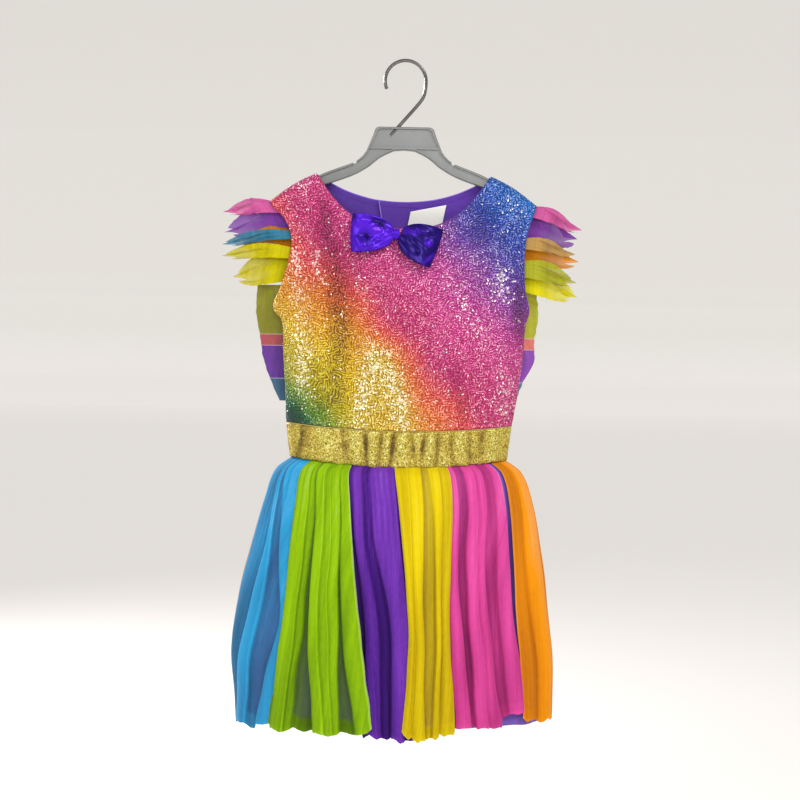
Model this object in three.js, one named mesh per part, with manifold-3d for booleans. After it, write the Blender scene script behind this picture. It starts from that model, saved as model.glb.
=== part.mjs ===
// A child's party dress on a hanger: sequinned bodice, glitter waistband, sheer rainbow skirt.
// Millimetres, +Z up. The front of the dress faces -Y and the wearer's left is at +X.
// The origin is the inner top of the hanger's hook, where a rail would carry it.
import * as THREE from 'three';
import { mergeVertices } from 'three/addons/utils/BufferGeometryUtils.js';
import Module from 'manifold-3d';

const wasm = await Module();
wasm.setup();

// ---- Driving sizes -------------------------------------------------------------------------

const GAP = 0.3; // between neighbouring pieces
const KNIT = 1.6; // wall of the bodice
const ELASTIC = 2.0; // wall of the waistband
const CHIFFON = 1.0; // wall of every sheer piece and of the lining
const SATIN = 1.2; // wall of the bow
const LABEL = { width: 42, height: 23, thick: 1.0, x: 27, z: -178, tilt: -0.2 };

const HOOK = { inner: 21.5, wire: 4, tipAngle: 204, sides: 10, steps: 44 };
const HOOK_NECK = [
  { x: 22.9, z: -31.5 },
  { x: 20.6, z: -40.5 },
  { x: 15.2, z: -48.3 },
  { x: 3.7, z: -61.8 },
  { x: -7.8, z: -75 },
  { x: -16.2, z: -84.7 },
];

const HANGER = { thick: 7.6, web: 3.2, rim: 2.3, bevel: 1.1, notchX: 57, notchZ: -115.5, notchRadius: 2.6 };
const PLATE = { top: -75, topHalf: 35, cornerRadius: 7, foot: -101.5, footHalf: 41.5, rib: 2 };
const ARM_DROP = 3.8; // from the shoulder line down to the top of the hanger's arm
const ARM_END = 139;

const NECK_POINT = { x: 100, z: -130, across: 0.68 }; // across: its place over the panel's half width
const SHOULDER_TIP = { x: 153, z: -163 };
const FRONT_NECK = { low: -193, power: 2.7 };
const BACK_NECK = { low: -160, power: 2.2 };
const ROLL = 6.4; // radius of the cloth where it folds over the hanger's arm

// The shoulder seam, and its run on towards the middle of the neck opening.
const SHOULDER = [
  { x: 0, z: -96 },
  { x: 60, z: -112 },
  { x: NECK_POINT.x, z: NECK_POINT.z },
  { x: 126, z: -143 },
  { x: SHOULDER_TIP.x, z: SHOULDER_TIP.z },
];

// The bodice and waistband by height. left and right: half widths to the seam or armhole edge.
// depth: from the seam plane to the middle of the panel. edge: the same at the armhole's edge.
// round: how sharply the panel turns in towards its edge, from 0.5, an ellipse, to 1.
const BODICE = [
  { z: -466, left: 123, right: 123, depth: 34, edge: 0.25, round: 0.5 },
  { z: -416, left: 129, right: 129, depth: 33, edge: 0.25, round: 0.5 },
  { z: -380, left: 131, right: 135, depth: 31, edge: 0.25, round: 0.5 },
  { z: -340, left: 134, right: 140, depth: 30, edge: 0.25, round: 0.5 },
  { z: -299, left: 137, right: 143, depth: 27, edge: 0.25, round: 0.5 },
  { z: -284, left: 147, right: 147, depth: 26, edge: 0.25, round: 0.55 },
  { z: -262, left: 139, right: 142, depth: 24, edge: 4.6, round: 0.8 },
  { z: -235, left: 131, right: 140, depth: 21, edge: 6.4, round: 1 },
  { z: -206, left: 127, right: 141, depth: 17.5, edge: 7, round: 1 },
  { z: -184, left: 135, right: 146, depth: 13, edge: 6.8, round: 1 },
  { z: -163, left: 153, right: 153, depth: 8.5, edge: 6.4, round: 1 },
  { z: -130, left: 153, right: 153, depth: 7, edge: 6.4, round: 1 },
];

// Soft folds of the front, from head to foot. height: above the panel, or below it if negative.
const FRONT_FOLDS = [
  { topX: -92, topZ: -225, footX: -100, footZ: -400, width: 15, height: 3.2 },
  { topX: -72, topZ: -195, footX: -52, footZ: -412, width: 13, height: -2.6 },
  { topX: 96, topZ: -240, footX: 108, footZ: -400, width: 17, height: 2.2 },
];

const WAIST = { seam: -416, sag: 8, foot: -455, footSag: 10 };
const BACK_LAP = { edge: 0.02, under: -0.19, lift: 2.1, rampFrom: -46, rampTo: -31 };

// The lining by height: half width, half depth, and how far the skirt swings to one side.
const SKIRT = [
  { z: -762, half: 172, depth: 73, shift: -2 },
  { z: -728, half: 173, depth: 72, shift: -3 },
  { z: -676, half: 175, depth: 69, shift: -6 },
  { z: -618, half: 168, depth: 65, shift: -6 },
  { z: -560, half: 159, depth: 59, shift: -3 },
  { z: -503, half: 149, depth: 52, shift: 0 },
  { z: -470, half: 139, depth: 43, shift: 0 },
  { z: -455, half: 121, depth: 29.5, shift: 0 },
];
const SKIRT_TOP = { side: -456.2, sag: 10 };
const LINING = { hem: -751, waves: 12, wave: 2 };

// The sheer skirt panels, from the dress's right side round its front. Angles run from 0 at the
// middle of the front to 90 at the wearer's left: waist, middle and hem are where a panel begins.
// hem: the height of its edge. lift: 0 for a panel that lies under its neighbours, 1 for one over.
const PANELS = [
  { name: 'front_blue', waist: -100, middle: -101, hemAngle: -101, hem: -757, lift: 0, tint: 0x2aa4d2 },
  { name: 'front_green', waist: -56, middle: -43, hemAngle: -51, hem: -755, lift: 1, tint: 0x93c400 },
  { name: 'front_purple', waist: -25, middle: -12, hemAngle: -8, hem: -760, lift: 0, tint: 0x6a2aa8 },
  { name: 'front_yellow', waist: -0.5, middle: 8, hemAngle: 5, hem: -757, lift: 1, tint: 0xe8dc00 },
  { name: 'front_pink', waist: 23.5, middle: 21, hemAngle: 22, hem: -746, lift: 0, tint: 0xe0489c },
  { name: 'front_orange', waist: 59, middle: 55, hemAngle: 57, hem: -746, lift: 1, tint: 0xf09a00 },
  { name: 'back_blue', waist: 98, middle: 99, hemAngle: 100, hem: -750, lift: 0, tint: 0x2aa4d2 },
  { name: 'back_green', waist: 126, middle: 127, hemAngle: 128, hem: -753, lift: 1, tint: 0x93c400 },
  { name: 'back_purple', waist: 153, middle: 154, hemAngle: 155, hem: -757, lift: 0, tint: 0x6a2aa8 },
  { name: 'back_yellow', waist: 178, middle: 178, hemAngle: 179, hem: -754, lift: 1, tint: 0xe8dc00 },
  { name: 'back_pink', waist: 204, middle: 204, hemAngle: 204, hem: -750, lift: 0, tint: 0xe0489c },
  { name: 'back_orange', waist: 231, middle: 231, hemAngle: 231, hem: -752, lift: 1, tint: 0xf09a00 },
];
const PANEL_LIFT = { top: 1.7, hem: 8.2, stepTop: 1.7, stepHem: 4.2 };
const PANEL_FOLDS = { perPanel: 2, height: 3.8, lap: 1.3 };

// Sleeve petals. side: -1 at the dress's right armhole, 1 at its left. sewn: -1 to the front's
// edge, 1 to the back's. root and tip: the heights of their middles. wide and end: half widths.
const PETALS = [
  { name: 'left_pink', side: -1, sewn: -1, root: -180, tipX: 207, tip: -179, wide: 10, end: 4, tint: 0xd85aa0 },
  { name: 'left_purple', side: -1, sewn: 1, root: -182, tipX: 207, tip: -196, wide: 10, end: 5, tint: 0x8048b8 },
  { name: 'left_blue', side: -1, sewn: -1, root: -203, tipX: 208, tip: -209, wide: 10, end: 4, tint: 0x3c86a8 },
  { name: 'left_orange', side: -1, sewn: 1, root: -207, tipX: 188, tip: -219, wide: 12, end: 6, tint: 0xf08a20 },
  { name: 'left_lime', side: -1, sewn: -1, root: -227, tipX: 207, tip: -229, wide: 12, end: 4, tint: 0xb4c820 },
  { name: 'left_yellow', side: -1, sewn: 1, root: -238, tipX: 192, tip: -248, wide: 16, end: 8, tint: 0xf0e000 },
  { name: 'right_pink', side: 1, sewn: -1, root: -181, tipX: 206, tip: -187, wide: 11, end: 5, tint: 0xd85aa0 },
  { name: 'right_purple', side: 1, sewn: 1, root: -190, tipX: 190, tip: -200, wide: 13, end: 6, tint: 0x8048b8 },
  { name: 'right_blue', side: 1, sewn: -1, root: -205, tipX: 201, tip: -213, wide: 11, end: 5, tint: 0xa08a78 },
  { name: 'right_orange', side: 1, sewn: 1, root: -219, tipX: 204, tip: -225, wide: 13, end: 5, tint: 0xf08a20 },
  { name: 'right_lime', side: 1, sewn: -1, root: -236, tipX: 201, tip: -249, wide: 15, end: 7, tint: 0xb4c820 },
  { name: 'right_yellow', side: 1, sewn: 1, root: -246, tipX: 204, tip: -264, wide: 10, end: 5, tint: 0xf0e000 },
];
const PETAL_INSET = 5; // how far a petal reaches in behind the armhole's edge
const PETAL_STAND = 1.1; // from the bodice's inner face to the petal

// The drapes that hang behind the sides of the bodice, by height: inner and outer edge.
const DRAPE = [
  { z: -392, inner: 112, left: 139, right: 133 },
  { z: -365, inner: 106, left: 151, right: 143 },
  { z: -342, inner: 103, left: 159, right: 155 },
  { z: -318, inner: 100, left: 163, right: 155 },
  { z: -290, inner: 98, left: 168, right: 159 },
  { z: -258, inner: 98, left: 167, right: 156 },
];
const DRAPE_BANDS = [
  { name: 'lime', top: -258, foot: -315, tint: 0x98a030 },
  { name: 'coral', top: -315, foot: -328, tint: 0xe87870 },
  { name: 'purple', top: -328, foot: -366, tint: 0x8a4cb0 },
  { name: 'teal', top: -366, foot: -392, tint: 0x5a7c98 },
];
const DRAPE_STAND = 1.1; // from the middle of the back panel to the middle of the drape
const DRAPE_TURN = 0.9; // of the half width, where the drape leaves the panel and runs on flat

const BOW = { x: -7.7, z: -200.5, stand: 0.5, pinch: 0.42, knotWide: 8, knotDeep: 5, knotTall: 7 };
const BOW_LOOPS = [
  { name: 'left', side: -1, length: 50, tilt: 0.02, root: 5.5, end: 21.5, deep: 6.5 },
  { name: 'right', side: 1, length: 47, tilt: -0.33, root: 6, end: 23, deep: 6.5 },
];

const PLASTIC = { color: 0x9b9c97, roughness: 0.35, metalness: 0 };
const STEEL = { color: 0xb8b6b0, roughness: 0.25, metalness: 1 };
const SEQUIN = { color: 0xe0589c, roughness: 0.3, metalness: 0.6 };
const PURPLE_KNIT = { color: 0x5b2aa8, roughness: 0.8, metalness: 0 };
const GOLD = { color: 0xc8b45a, roughness: 0.4, metalness: 0.7 };
const PURPLE_SATIN = { color: 0x4a1f9a, roughness: 0.45, metalness: 0 };
const VIOLET_SATIN = { color: 0x4c12b4, roughness: 0.35, metalness: 0 };
const WHITE_LABEL = { color: 0xf0efea, roughness: 0.8, metalness: 0 };
const sheer = (tint) => ({ color: tint, roughness: 0.75, metalness: 0 });

// ---- Tables and solids ---------------------------------------------------------------------

const { clamp, lerp, smoothstep, degToRad } = THREE.MathUtils;

// One column of a table as a smooth function of its key column, whose values rise.
function columnOf(rows, key, column) {
  const last = rows.length - 1;
  const slopeAt = (i) => {
    const before = rows[Math.max(i - 1, 0)];
    const after = rows[Math.min(i + 1, last)];
    return (after[column] - before[column]) / (after[key] - before[key]);
  };
  return (place) => {
    const at = clamp(place, rows[0][key], rows[last][key]);
    let i = 0;
    while (i < last - 1 && at > rows[i + 1][key]) i += 1;
    const span = rows[i + 1][key] - rows[i][key];
    const t = (at - rows[i][key]) / span;
    const from = rows[i][column] * (1 + 2 * t) * (1 - t) ** 2 + slopeAt(i) * span * t * (1 - t) ** 2;
    const to = rows[i + 1][column] * (3 - 2 * t) * t ** 2 - slopeAt(i + 1) * span * (1 - t) * t ** 2;
    return from + to;
  };
}

const evenly = (count, from = 0, to = 1) =>
  Array.from({ length: count + 1 }, (_, i) => lerp(from, to, i / count));

// The direction square to a surface at (u, v), by stepping a little way along it.
function squareTo(surface, u, v, uRange, vRange) {
  const step = 1e-3;
  const along = surface(Math.min(u + step, uRange[1]), v).sub(surface(Math.max(u - step, uRange[0]), v));
  const up = surface(u, Math.min(v + step, vRange[1])).sub(surface(u, Math.max(v - step, vRange[0])));
  return along.cross(up).normalize();
}

// A closed wall of cloth: the surface at the grid of us and vs, moved half the thickness each way.
// With ring set, the last column joins the first.
function wall(surface, us, vs, thick, ring = false) {
  const range = (values) => (ring && values === us ? [-Infinity, Infinity] : [values[0], values.at(-1)]);
  const points = [];
  for (const side of [0.5, -0.5]) {
    for (const u of us) {
      for (const v of vs) {
        const out = squareTo(surface, u, v, range(us), range(vs));
        points.push(surface(u, v).addScaledVector(out, side * thick));
      }
    }
  }
  const rows = vs.length;
  const columns = us.length;
  const at = (side, i, j) => (side * columns + (i % columns)) * rows + j;
  const faces = [];
  const quad = (a, b, c, d) => faces.push(a, b, c, a, c, d);
  const lastColumn = ring ? columns : columns - 1;
  for (let i = 0; i < lastColumn; i += 1) {
    for (let j = 0; j < rows - 1; j += 1) {
      quad(at(0, i, j), at(0, i + 1, j), at(0, i + 1, j + 1), at(0, i, j + 1));
      quad(at(1, i, j), at(1, i, j + 1), at(1, i + 1, j + 1), at(1, i + 1, j));
    }
    quad(at(0, i, 0), at(1, i, 0), at(1, i + 1, 0), at(0, i + 1, 0));
    quad(at(0, i, rows - 1), at(0, i + 1, rows - 1), at(1, i + 1, rows - 1), at(1, i, rows - 1));
  }
  for (let j = 0; !ring && j < rows - 1; j += 1) {
    quad(at(0, 0, j), at(0, 0, j + 1), at(1, 0, j + 1), at(1, 0, j));
    quad(at(0, lastColumn, j), at(1, lastColumn, j), at(1, lastColumn, j + 1), at(0, lastColumn, j + 1));
  }
  return closedMesh(points, faces);
}

// A geometry from points and faces, turned inside out if its faces point in.
function closedMesh(points, faces) {
  let volume = 0;
  for (let i = 0; i < faces.length; i += 3) {
    const [a, b, c] = faces.slice(i, i + 3).map((k) => points[k]);
    volume += a.dot(b.clone().cross(c));
  }
  const outward = volume > 0 ? faces : faces.toReversed();
  const geometry = new THREE.BufferGeometry().setFromPoints(points);
  geometry.setIndex(outward);
  return geometry;
}

function solidOf(geometry) {
  const bare = geometry.clone();
  bare.deleteAttribute('normal');
  bare.deleteAttribute('uv');
  const merged = mergeVertices(bare, 1e-4);
  return new wasm.Manifold(new wasm.Mesh({
    numProp: 3,
    vertProperties: new Float32Array(merged.attributes.position.array),
    triVerts: new Uint32Array(merged.index.array),
  }));
}

function geometryOf(solid) {
  const mesh = solid.getMesh();
  const geometry = new THREE.BufferGeometry();
  geometry.setAttribute('position', new THREE.BufferAttribute(mesh.vertProperties, 3));
  geometry.setIndex(new THREE.BufferAttribute(mesh.triVerts, 1));
  return geometry;
}

const dress = new THREE.Group();

function piece(name, geometry, finish) {
  const mesh = new THREE.Mesh(geometry, new THREE.MeshStandardMaterial(finish));
  mesh.name = name;
  dress.add(mesh);
}

// ---- Hanger --------------------------------------------------------------------------------

const shoulderLine = columnOf(SHOULDER, 'x', 'z');
const inFront = (x, z) => new THREE.Vector3(x, 0, z);

function hookGeometry() {
  const radius = HOOK.inner + HOOK.wire / 2;
  const arc = evenly(16, degToRad(HOOK.tipAngle), 0);
  const route = arc.map((a) => inFront(radius * Math.cos(a), radius * Math.sin(a) - HOOK.inner));
  for (const point of HOOK_NECK) route.push(inFront(point.x, point.z));
  const section = new THREE.Shape().absarc(0, 0, HOOK.wire / 2, 0, 2 * Math.PI);
  return new THREE.ExtrudeGeometry(section, {
    curveSegments: HOOK.sides,
    steps: HOOK.steps,
    bevelEnabled: false,
    extrudePath: new THREE.CatmullRomCurve3(route),
  });
}

// The right half of the hanger's outline, from the top of the plate round the arm to the middle.
// inset moves it in from the edge.
function hangerEdge(inset) {
  const half = new THREE.Path();
  const top = PLATE.top - inset;
  const corner = PLATE.topHalf - inset;
  half.moveTo(0, top);
  half.lineTo(corner - PLATE.cornerRadius, top);
  half.quadraticCurveTo(corner - 1, top, corner, top - PLATE.cornerRadius);
  half.lineTo(PLATE.footHalf - inset, PLATE.foot + 3);
  half.quadraticCurveTo(46 - inset, -112, 62 - inset * 0.4, -118.3 - inset * 0.9);
  const along = [88, 100, 113, 126, ARM_END - 6];
  const upper = along.map((x) => new THREE.Vector2(x, shoulderLine(x) - ARM_DROP - inset * 1.1));
  const nose = [
    new THREE.Vector2(ARM_END - inset, shoulderLine(ARM_END) - 8),
    new THREE.Vector2(ARM_END - 4 - inset, shoulderLine(ARM_END) - 13.5 + inset),
  ];
  const under = [[126, -158.5], [108, -149.5], [90, -142.5], [72, -136.5], [55, -129.5], [40, -120.5]];
  const lower = under.map(([x, z]) => new THREE.Vector2(x, z + inset * 1.1));
  half.splineThru([...upper, ...nose, ...lower]);
  half.splineThru([new THREE.Vector2(27, -110 + inset * 1.1), new THREE.Vector2(12, -102.5 + inset)]);
  half.lineTo(0, -101.5 + inset);
  return half.getPoints(5);
}

function hangerOutline(inset) {
  const right = hangerEdge(inset);
  const left = right.slice(1, -1).reverse().map((p) => new THREE.Vector2(-p.x, p.y));
  return [...right, ...left];
}

// An outline in X and Z, made thick along Y and centred on the hanger's middle plane.
function slab(shape, thick, bevel) {
  const geometry = new THREE.ExtrudeGeometry(shape, {
    depth: thick - 2 * bevel,
    bevelEnabled: bevel > 0,
    bevelThickness: bevel,
    bevelSize: bevel,
    bevelOffset: -bevel,
    bevelSegments: 1,
  });
  geometry.translate(0, 0, bevel - thick / 2);
  geometry.rotateX(Math.PI / 2);
  return solidOf(geometry);
}

// The drilled pocket that takes the end of the hook, and the notches for straps.
function hangerCuts() {
  const [from, to] = HOOK_NECK.slice(-2).map((p) => inFront(p.x, p.z));
  const bore = new THREE.CylinderGeometry(HOOK.wire / 2 + GAP, HOOK.wire / 2 + GAP, 16, 16);
  const turn = new THREE.Quaternion().setFromUnitVectors(
    new THREE.Vector3(0, 1, 0), from.clone().sub(to).normalize());
  bore.applyQuaternion(turn);
  const foot = to.clone().lerp(from, -GAP / 12);
  const middle = foot.addScaledVector(from.clone().sub(to).normalize(), 8);
  bore.translate(middle.x, middle.y, middle.z);
  let cuts = solidOf(bore);
  for (const side of [-1, 1]) {
    const notch = new THREE.CylinderGeometry(HANGER.notchRadius, HANGER.notchRadius, HANGER.thick + 2, 16);
    notch.translate(side * HANGER.notchX, 0, HANGER.notchZ);
    cuts = cuts.add(solidOf(notch));
  }
  return cuts;
}

function hangerGeometry() {
  const outline = new THREE.Shape(hangerOutline(0));
  const sunk = slab(new THREE.Shape(hangerOutline(HANGER.rim)), HANGER.thick, 0);
  const rib = new THREE.BoxGeometry(2 * PLATE.footHalf - HANGER.rim, HANGER.thick - 1, PLATE.rib);
  rib.translate(0, 0, PLATE.foot + PLATE.rib);
  const shift = (HANGER.thick + HANGER.web) / 2;
  const body = slab(outline, HANGER.thick, HANGER.bevel)
    .subtract(sunk.translate([0, shift, 0]))
    .subtract(sunk.translate([0, -shift, 0]))
    .add(solidOf(rib));
  return geometryOf(body.subtract(hangerCuts()));
}

piece('hanger_hook', hookGeometry(), STEEL);
piece('hanger_body', hangerGeometry(), PLASTIC);

// ---- Bodice and waistband ------------------------------------------------------------------

const halfLeft = columnOf(BODICE, 'z', 'left');
const halfRight = columnOf(BODICE, 'z', 'right');
const middleDepth = columnOf(BODICE, 'z', 'depth');
const edgeDepth = columnOf(BODICE, 'z', 'edge');
const rounding = columnOf(BODICE, 'z', 'round');
const halfWidth = (side, z) => (side < 0 ? halfLeft(z) : halfRight(z));

// How far the cloth stands from the seam plane, over the hanger's arm and down the panel.
function clothDepth(x, z) {
  const across = clamp(Math.abs(x) / halfWidth(x, z), 0, 1);
  const edge = Math.max(edgeDepth(z), 0.25);
  const full = edge + (middleDepth(z) - edge) * (1 - across ** 2) ** rounding(z);
  const below = clamp((shoulderLine(Math.abs(x)) - z) / ROLL, 0, 1);
  return Math.max(full * Math.sqrt(1 - (1 - below) ** 2), 0.25);
}

function frontFold(x, z) {
  let height = 0;
  for (const fold of FRONT_FOLDS) {
    const along = clamp((fold.topZ - z) / (fold.topZ - fold.footZ), 0, 1);
    const off = (x - lerp(fold.topX, fold.footX, along)) / fold.width;
    const ends = smoothstep(fold.topZ - z, -20, 40) * smoothstep(z - fold.footZ, -20, 40);
    height += fold.height * ends * Math.exp(-(off ** 2));
  }
  return height;
}

// A panel's outline filled in: u runs across from -1 to 1 and v from the waist to the shoulder.
function bodiceOutline(neck, u, v) {
  const top = (across) => {
    const part = Math.abs(across) / NECK_POINT.across;
    if (part <= 1) return [NECK_POINT.x * part, lerp(neck.low, NECK_POINT.z, part ** neck.power)];
    const past = (Math.abs(across) - NECK_POINT.across) / (1 - NECK_POINT.across);
    const x = lerp(NECK_POINT.x, SHOULDER_TIP.x, past);
    return [x, shoulderLine(x)];
  };
  const side = Math.sign(u) || 1;
  const [topX, topZ] = top(u);
  const footZ = WAIST.seam - WAIST.sag * (1 - u ** 2);
  const footX = halfWidth(side, WAIST.seam);
  const edgeX = halfWidth(side, lerp(WAIST.seam, SHOULDER_TIP.z, v)) - lerp(footX, SHOULDER_TIP.x, v);
  const x = lerp(Math.abs(u) * footX, topX, v) + Math.abs(u) * edgeX;
  return { x: side * x, z: lerp(footZ, topZ, v) };
}

function frontSurface(u, v) {
  const { x, z } = bodiceOutline(FRONT_NECK, u, v);
  return new THREE.Vector3(x, -clothDepth(x, z) - frontFold(x, z) * (1 - u ** 6), z);
}

function backSurface(u, v, lift = 0) {
  const { x, z } = bodiceOutline(BACK_NECK, u, v);
  const ramp = smoothstep(x, BACK_LAP.rampFrom, BACK_LAP.rampTo);
  return new THREE.Vector3(x, clothDepth(x, z) + lift * ramp, z);
}

const HALF_COLUMNS = [0.2, 0.4, 0.55, 0.66, NECK_POINT.across, 0.8, 0.9, 0.965, 1];
const COLUMNS = [...HALF_COLUMNS.map((u) => -u).reverse(), 0, ...HALF_COLUMNS];
const ROWS = [0, 0.15, 0.3, 0.465, 0.52, 0.6, 0.69, 0.78, 0.86, 0.92, 0.955, 0.976, 0.99, 0.9975, 1];

function bodicePieces() {
  piece('bodice_front', wall(frontSurface, COLUMNS, ROWS, KNIT), SEQUIN);
  const over = [...COLUMNS.filter((u) => u < -0.3), -0.3, -0.24, -0.15, BACK_LAP.edge];
  const lapped = (u, v) => backSurface(u, v, BACK_LAP.lift);
  piece('bodice_back_left', wall(lapped, over, ROWS, KNIT), PURPLE_KNIT);
  const under = [BACK_LAP.under, ...COLUMNS.filter((u) => u > -0.1)];
  piece('bodice_back_right', wall(backSurface, under, ROWS, KNIT), PURPLE_KNIT);
}

function waistband(name, facing) {
  const surface = (u, v) => {
    const bow = 1 - u ** 2;
    const top = WAIST.seam - WAIST.sag * bow - 2 * GAP;
    const z = lerp(WAIST.foot - WAIST.footSag * bow, top, v);
    const x = u * halfWidth(u, z);
    return new THREE.Vector3(x, facing * clothDepth(x, z), z);
  };
  const across = evenly(22, -Math.PI / 2, Math.PI / 2).map(Math.sin);
  piece(name, wall(surface, across, [0, 0.5, 1], ELASTIC), GOLD);
}

bodicePieces();
waistband('waistband_front', -1);
waistband('waistband_back', 1);

// ---- Skirt ---------------------------------------------------------------------------------

const skirtHalf = columnOf(SKIRT, 'z', 'half');
const skirtDepth = columnOf(SKIRT, 'z', 'depth');
const skirtShift = columnOf(SKIRT, 'z', 'shift');
const skirtTop = (angle) => SKIRT_TOP.side - SKIRT_TOP.sag * Math.cos(angle) ** 2;

// A point of the skirt at an angle round it and a height, lifted square to the lining's oval.
function skirtPoint(angle, z, lift) {
  const half = skirtHalf(z);
  const depth = skirtDepth(z);
  const out = new THREE.Vector2(Math.sin(angle) / half, -Math.cos(angle) / depth).normalize();
  const x = skirtShift(z) + half * Math.sin(angle) + lift * out.x;
  return new THREE.Vector3(x, -depth * Math.cos(angle) + lift * out.y, z);
}

function lining() {
  const surface = (u, v) => {
    const angle = u * 2 * Math.PI;
    const z = lerp(skirtTop(angle), LINING.hem, v);
    return skirtPoint(angle, z, LINING.wave * Math.cos(LINING.waves * angle) * smoothstep(v, 0.1, 0.8));
  };
  const round = evenly(48).slice(0, -1);
  return wall(surface, round, [0, 0.07, 0.2, 0.45, 0.72, 1], CHIFFON, true);
}

// Where a panel begins at a height v of the skirt, from 0 at the waist to 1 at the hem.
function panelStart(index, v) {
  const row = PANELS[index % PANELS.length];
  const turn = 360 * Math.floor(index / PANELS.length);
  const angle = columnOf([
    { v: 0, angle: row.waist },
    { v: 0.6, angle: row.middle },
    { v: 1, angle: row.hemAngle },
  ], 'v', 'angle')(v);
  return degToRad(angle + turn);
}

// The folds ride on the panels: a ridge at each free edge and others evenly between them.
function foldHeight(across, v) {
  const grow = smoothstep(v, 0, 0.8);
  return PANEL_FOLDS.height * grow * Math.cos(2 * Math.PI * PANEL_FOLDS.perPanel * across);
}

function skirtPanel(row, index) {
  const liftTop = PANEL_LIFT.top + row.lift * PANEL_LIFT.stepTop;
  const liftHem = PANEL_LIFT.hem + row.lift * PANEL_LIFT.stepHem;
  const surface = (u, v) => {
    const [from, to] = [panelStart(index, v), panelStart(index + 1, v)];
    const lap = degToRad(PANEL_FOLDS.lap);
    const angle = lerp(from - lap, to + lap, u);
    const z = lerp(skirtTop(angle), row.hem, v);
    const fold = foldHeight((angle - from) / (to - from), v);
    return skirtPoint(angle, z, lerp(liftTop, liftHem, smoothstep(v, 0, 0.5)) + fold);
  };
  return wall(surface, evenly(9), [0, 0.06, 0.16, 0.32, 0.52, 0.76, 1], CHIFFON);
}

piece('skirt_lining', lining(), PURPLE_SATIN);
PANELS.forEach((row, index) => piece(`skirt_${row.name}`, skirtPanel(row, index), sheer(row.tint)));

// ---- Sleeve petals and side drapes ---------------------------------------------------------

// A petal runs from its seam inside the armhole's edge, u at 0, out to its tip, u at 1.
function petal(row) {
  const surface = (u, v) => {
    const half = lerp(row.wide, row.end, u ** 1.3);
    const z = lerp(row.root, row.tip, u) + 5 * Math.sin(Math.PI * u) + v * half;
    const edge = halfWidth(row.side, z);
    const x = lerp(edge - PETAL_INSET, row.tipX, u);
    const seat = clothDepth(row.side * Math.min(x, edge - 0.5), z) - (KNIT + CHIFFON) / 2 - PETAL_STAND;
    const ripple = 2.2 * smoothstep(u, 0.25, 0.7) * Math.sin(2.4 * v + 5 * u);
    return new THREE.Vector3(row.side * x, row.sewn * seat + ripple, z);
  };
  return wall(surface, [0, 0.12, 0.32, 0.55, 0.78, 1], [-1, 0, 1], CHIFFON);
}

const drapeInner = columnOf(DRAPE, 'z', 'inner');
const drapeLeft = columnOf(DRAPE, 'z', 'left');
const drapeRight = columnOf(DRAPE, 'z', 'right');

// A band of the drape lies on the back panel, then runs on flat past the side seam.
function drapeBand(side, band) {
  const stand = (KNIT + CHIFFON) / 2 + DRAPE_STAND;
  const surface = (u, v) => {
    const z = lerp(band.foot + GAP, band.top, v);
    const x = lerp(drapeInner(z), side < 0 ? drapeLeft(z) : drapeRight(z), u);
    const held = Math.min(x, DRAPE_TURN * halfWidth(side, z));
    const y = clothDepth(side * held, z) + stand + 2.5 * Math.sin(7 * u + 0.02 * z) * u;
    return new THREE.Vector3(side * x, y, z);
  };
  return wall(surface, evenly(5), [0, 0.5, 1], CHIFFON);
}

for (const row of PETALS) piece(`petal_${row.name}`, petal(row), sheer(row.tint));
for (const band of DRAPE_BANDS) {
  piece(`drape_left_${band.name}`, drapeBand(-1, band), sheer(band.tint));
  piece(`drape_right_${band.name}`, drapeBand(1, band), sheer(band.tint));
}

// ---- Bow and label -------------------------------------------------------------------------

// The place of the bow's back: it lies on the front panel, and keeps its line above the neckline.
const bowBack = (x, z) => {
  const held = Math.min(z, BOW.z - 2);
  return -clothDepth(x, held) - Math.max(frontFold(x, held), 0) - (KNIT + SATIN) / 2 - BOW.stand;
};

// A loop is one band of satin that runs out along the front, round, and back behind itself.
function bowLoop(row) {
  const start = BOW.knotWide / 2 + 3 * GAP + row.root * Math.abs(Math.sin(row.tilt));
  const surface = (u, v) => {
    const turn = lerp(BOW.pinch, 2 * Math.PI - BOW.pinch, u);
    const out = (Math.cos(BOW.pinch) - Math.cos(turn)) / 2;
    const reach = start + row.length * out;
    const tall = lerp(row.root, row.end, smoothstep(out, 0, 0.95));
    const x = BOW.x + row.side * (reach * Math.cos(row.tilt) - v * tall * Math.sin(row.tilt));
    const z = BOW.z + reach * Math.sin(row.tilt) + v * tall * Math.cos(row.tilt);
    const deep = row.deep * (1 + Math.sin(turn) * (0.5 + out / 2));
    return new THREE.Vector3(x, bowBack(x, z) - deep, z);
  };
  return wall(surface, evenly(14), [-1, -0.5, 0, 0.5, 1], SATIN);
}

// The knot is a short tube of satin round the pinch between the loops.
function bowKnot() {
  const surface = (u, v) => {
    const angle = u * 2 * Math.PI;
    const swell = 1 - 0.12 * (2 * v - 1) ** 2;
    const y = bowBack(BOW.x, BOW.z) - BOW.knotDeep * (1 + swell * Math.cos(angle));
    const z = BOW.z + BOW.knotTall * swell * Math.sin(angle);
    return new THREE.Vector3(BOW.x + (v - 0.5) * BOW.knotWide, y, z);
  };
  return wall(surface, evenly(14).slice(0, -1), [0, 0.5, 1], SATIN, true);
}

for (const row of BOW_LOOPS) piece(`bow_${row.name}`, bowLoop(row), VIOLET_SATIN);
piece('bow_knot', bowKnot(), VIOLET_SATIN);

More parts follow.
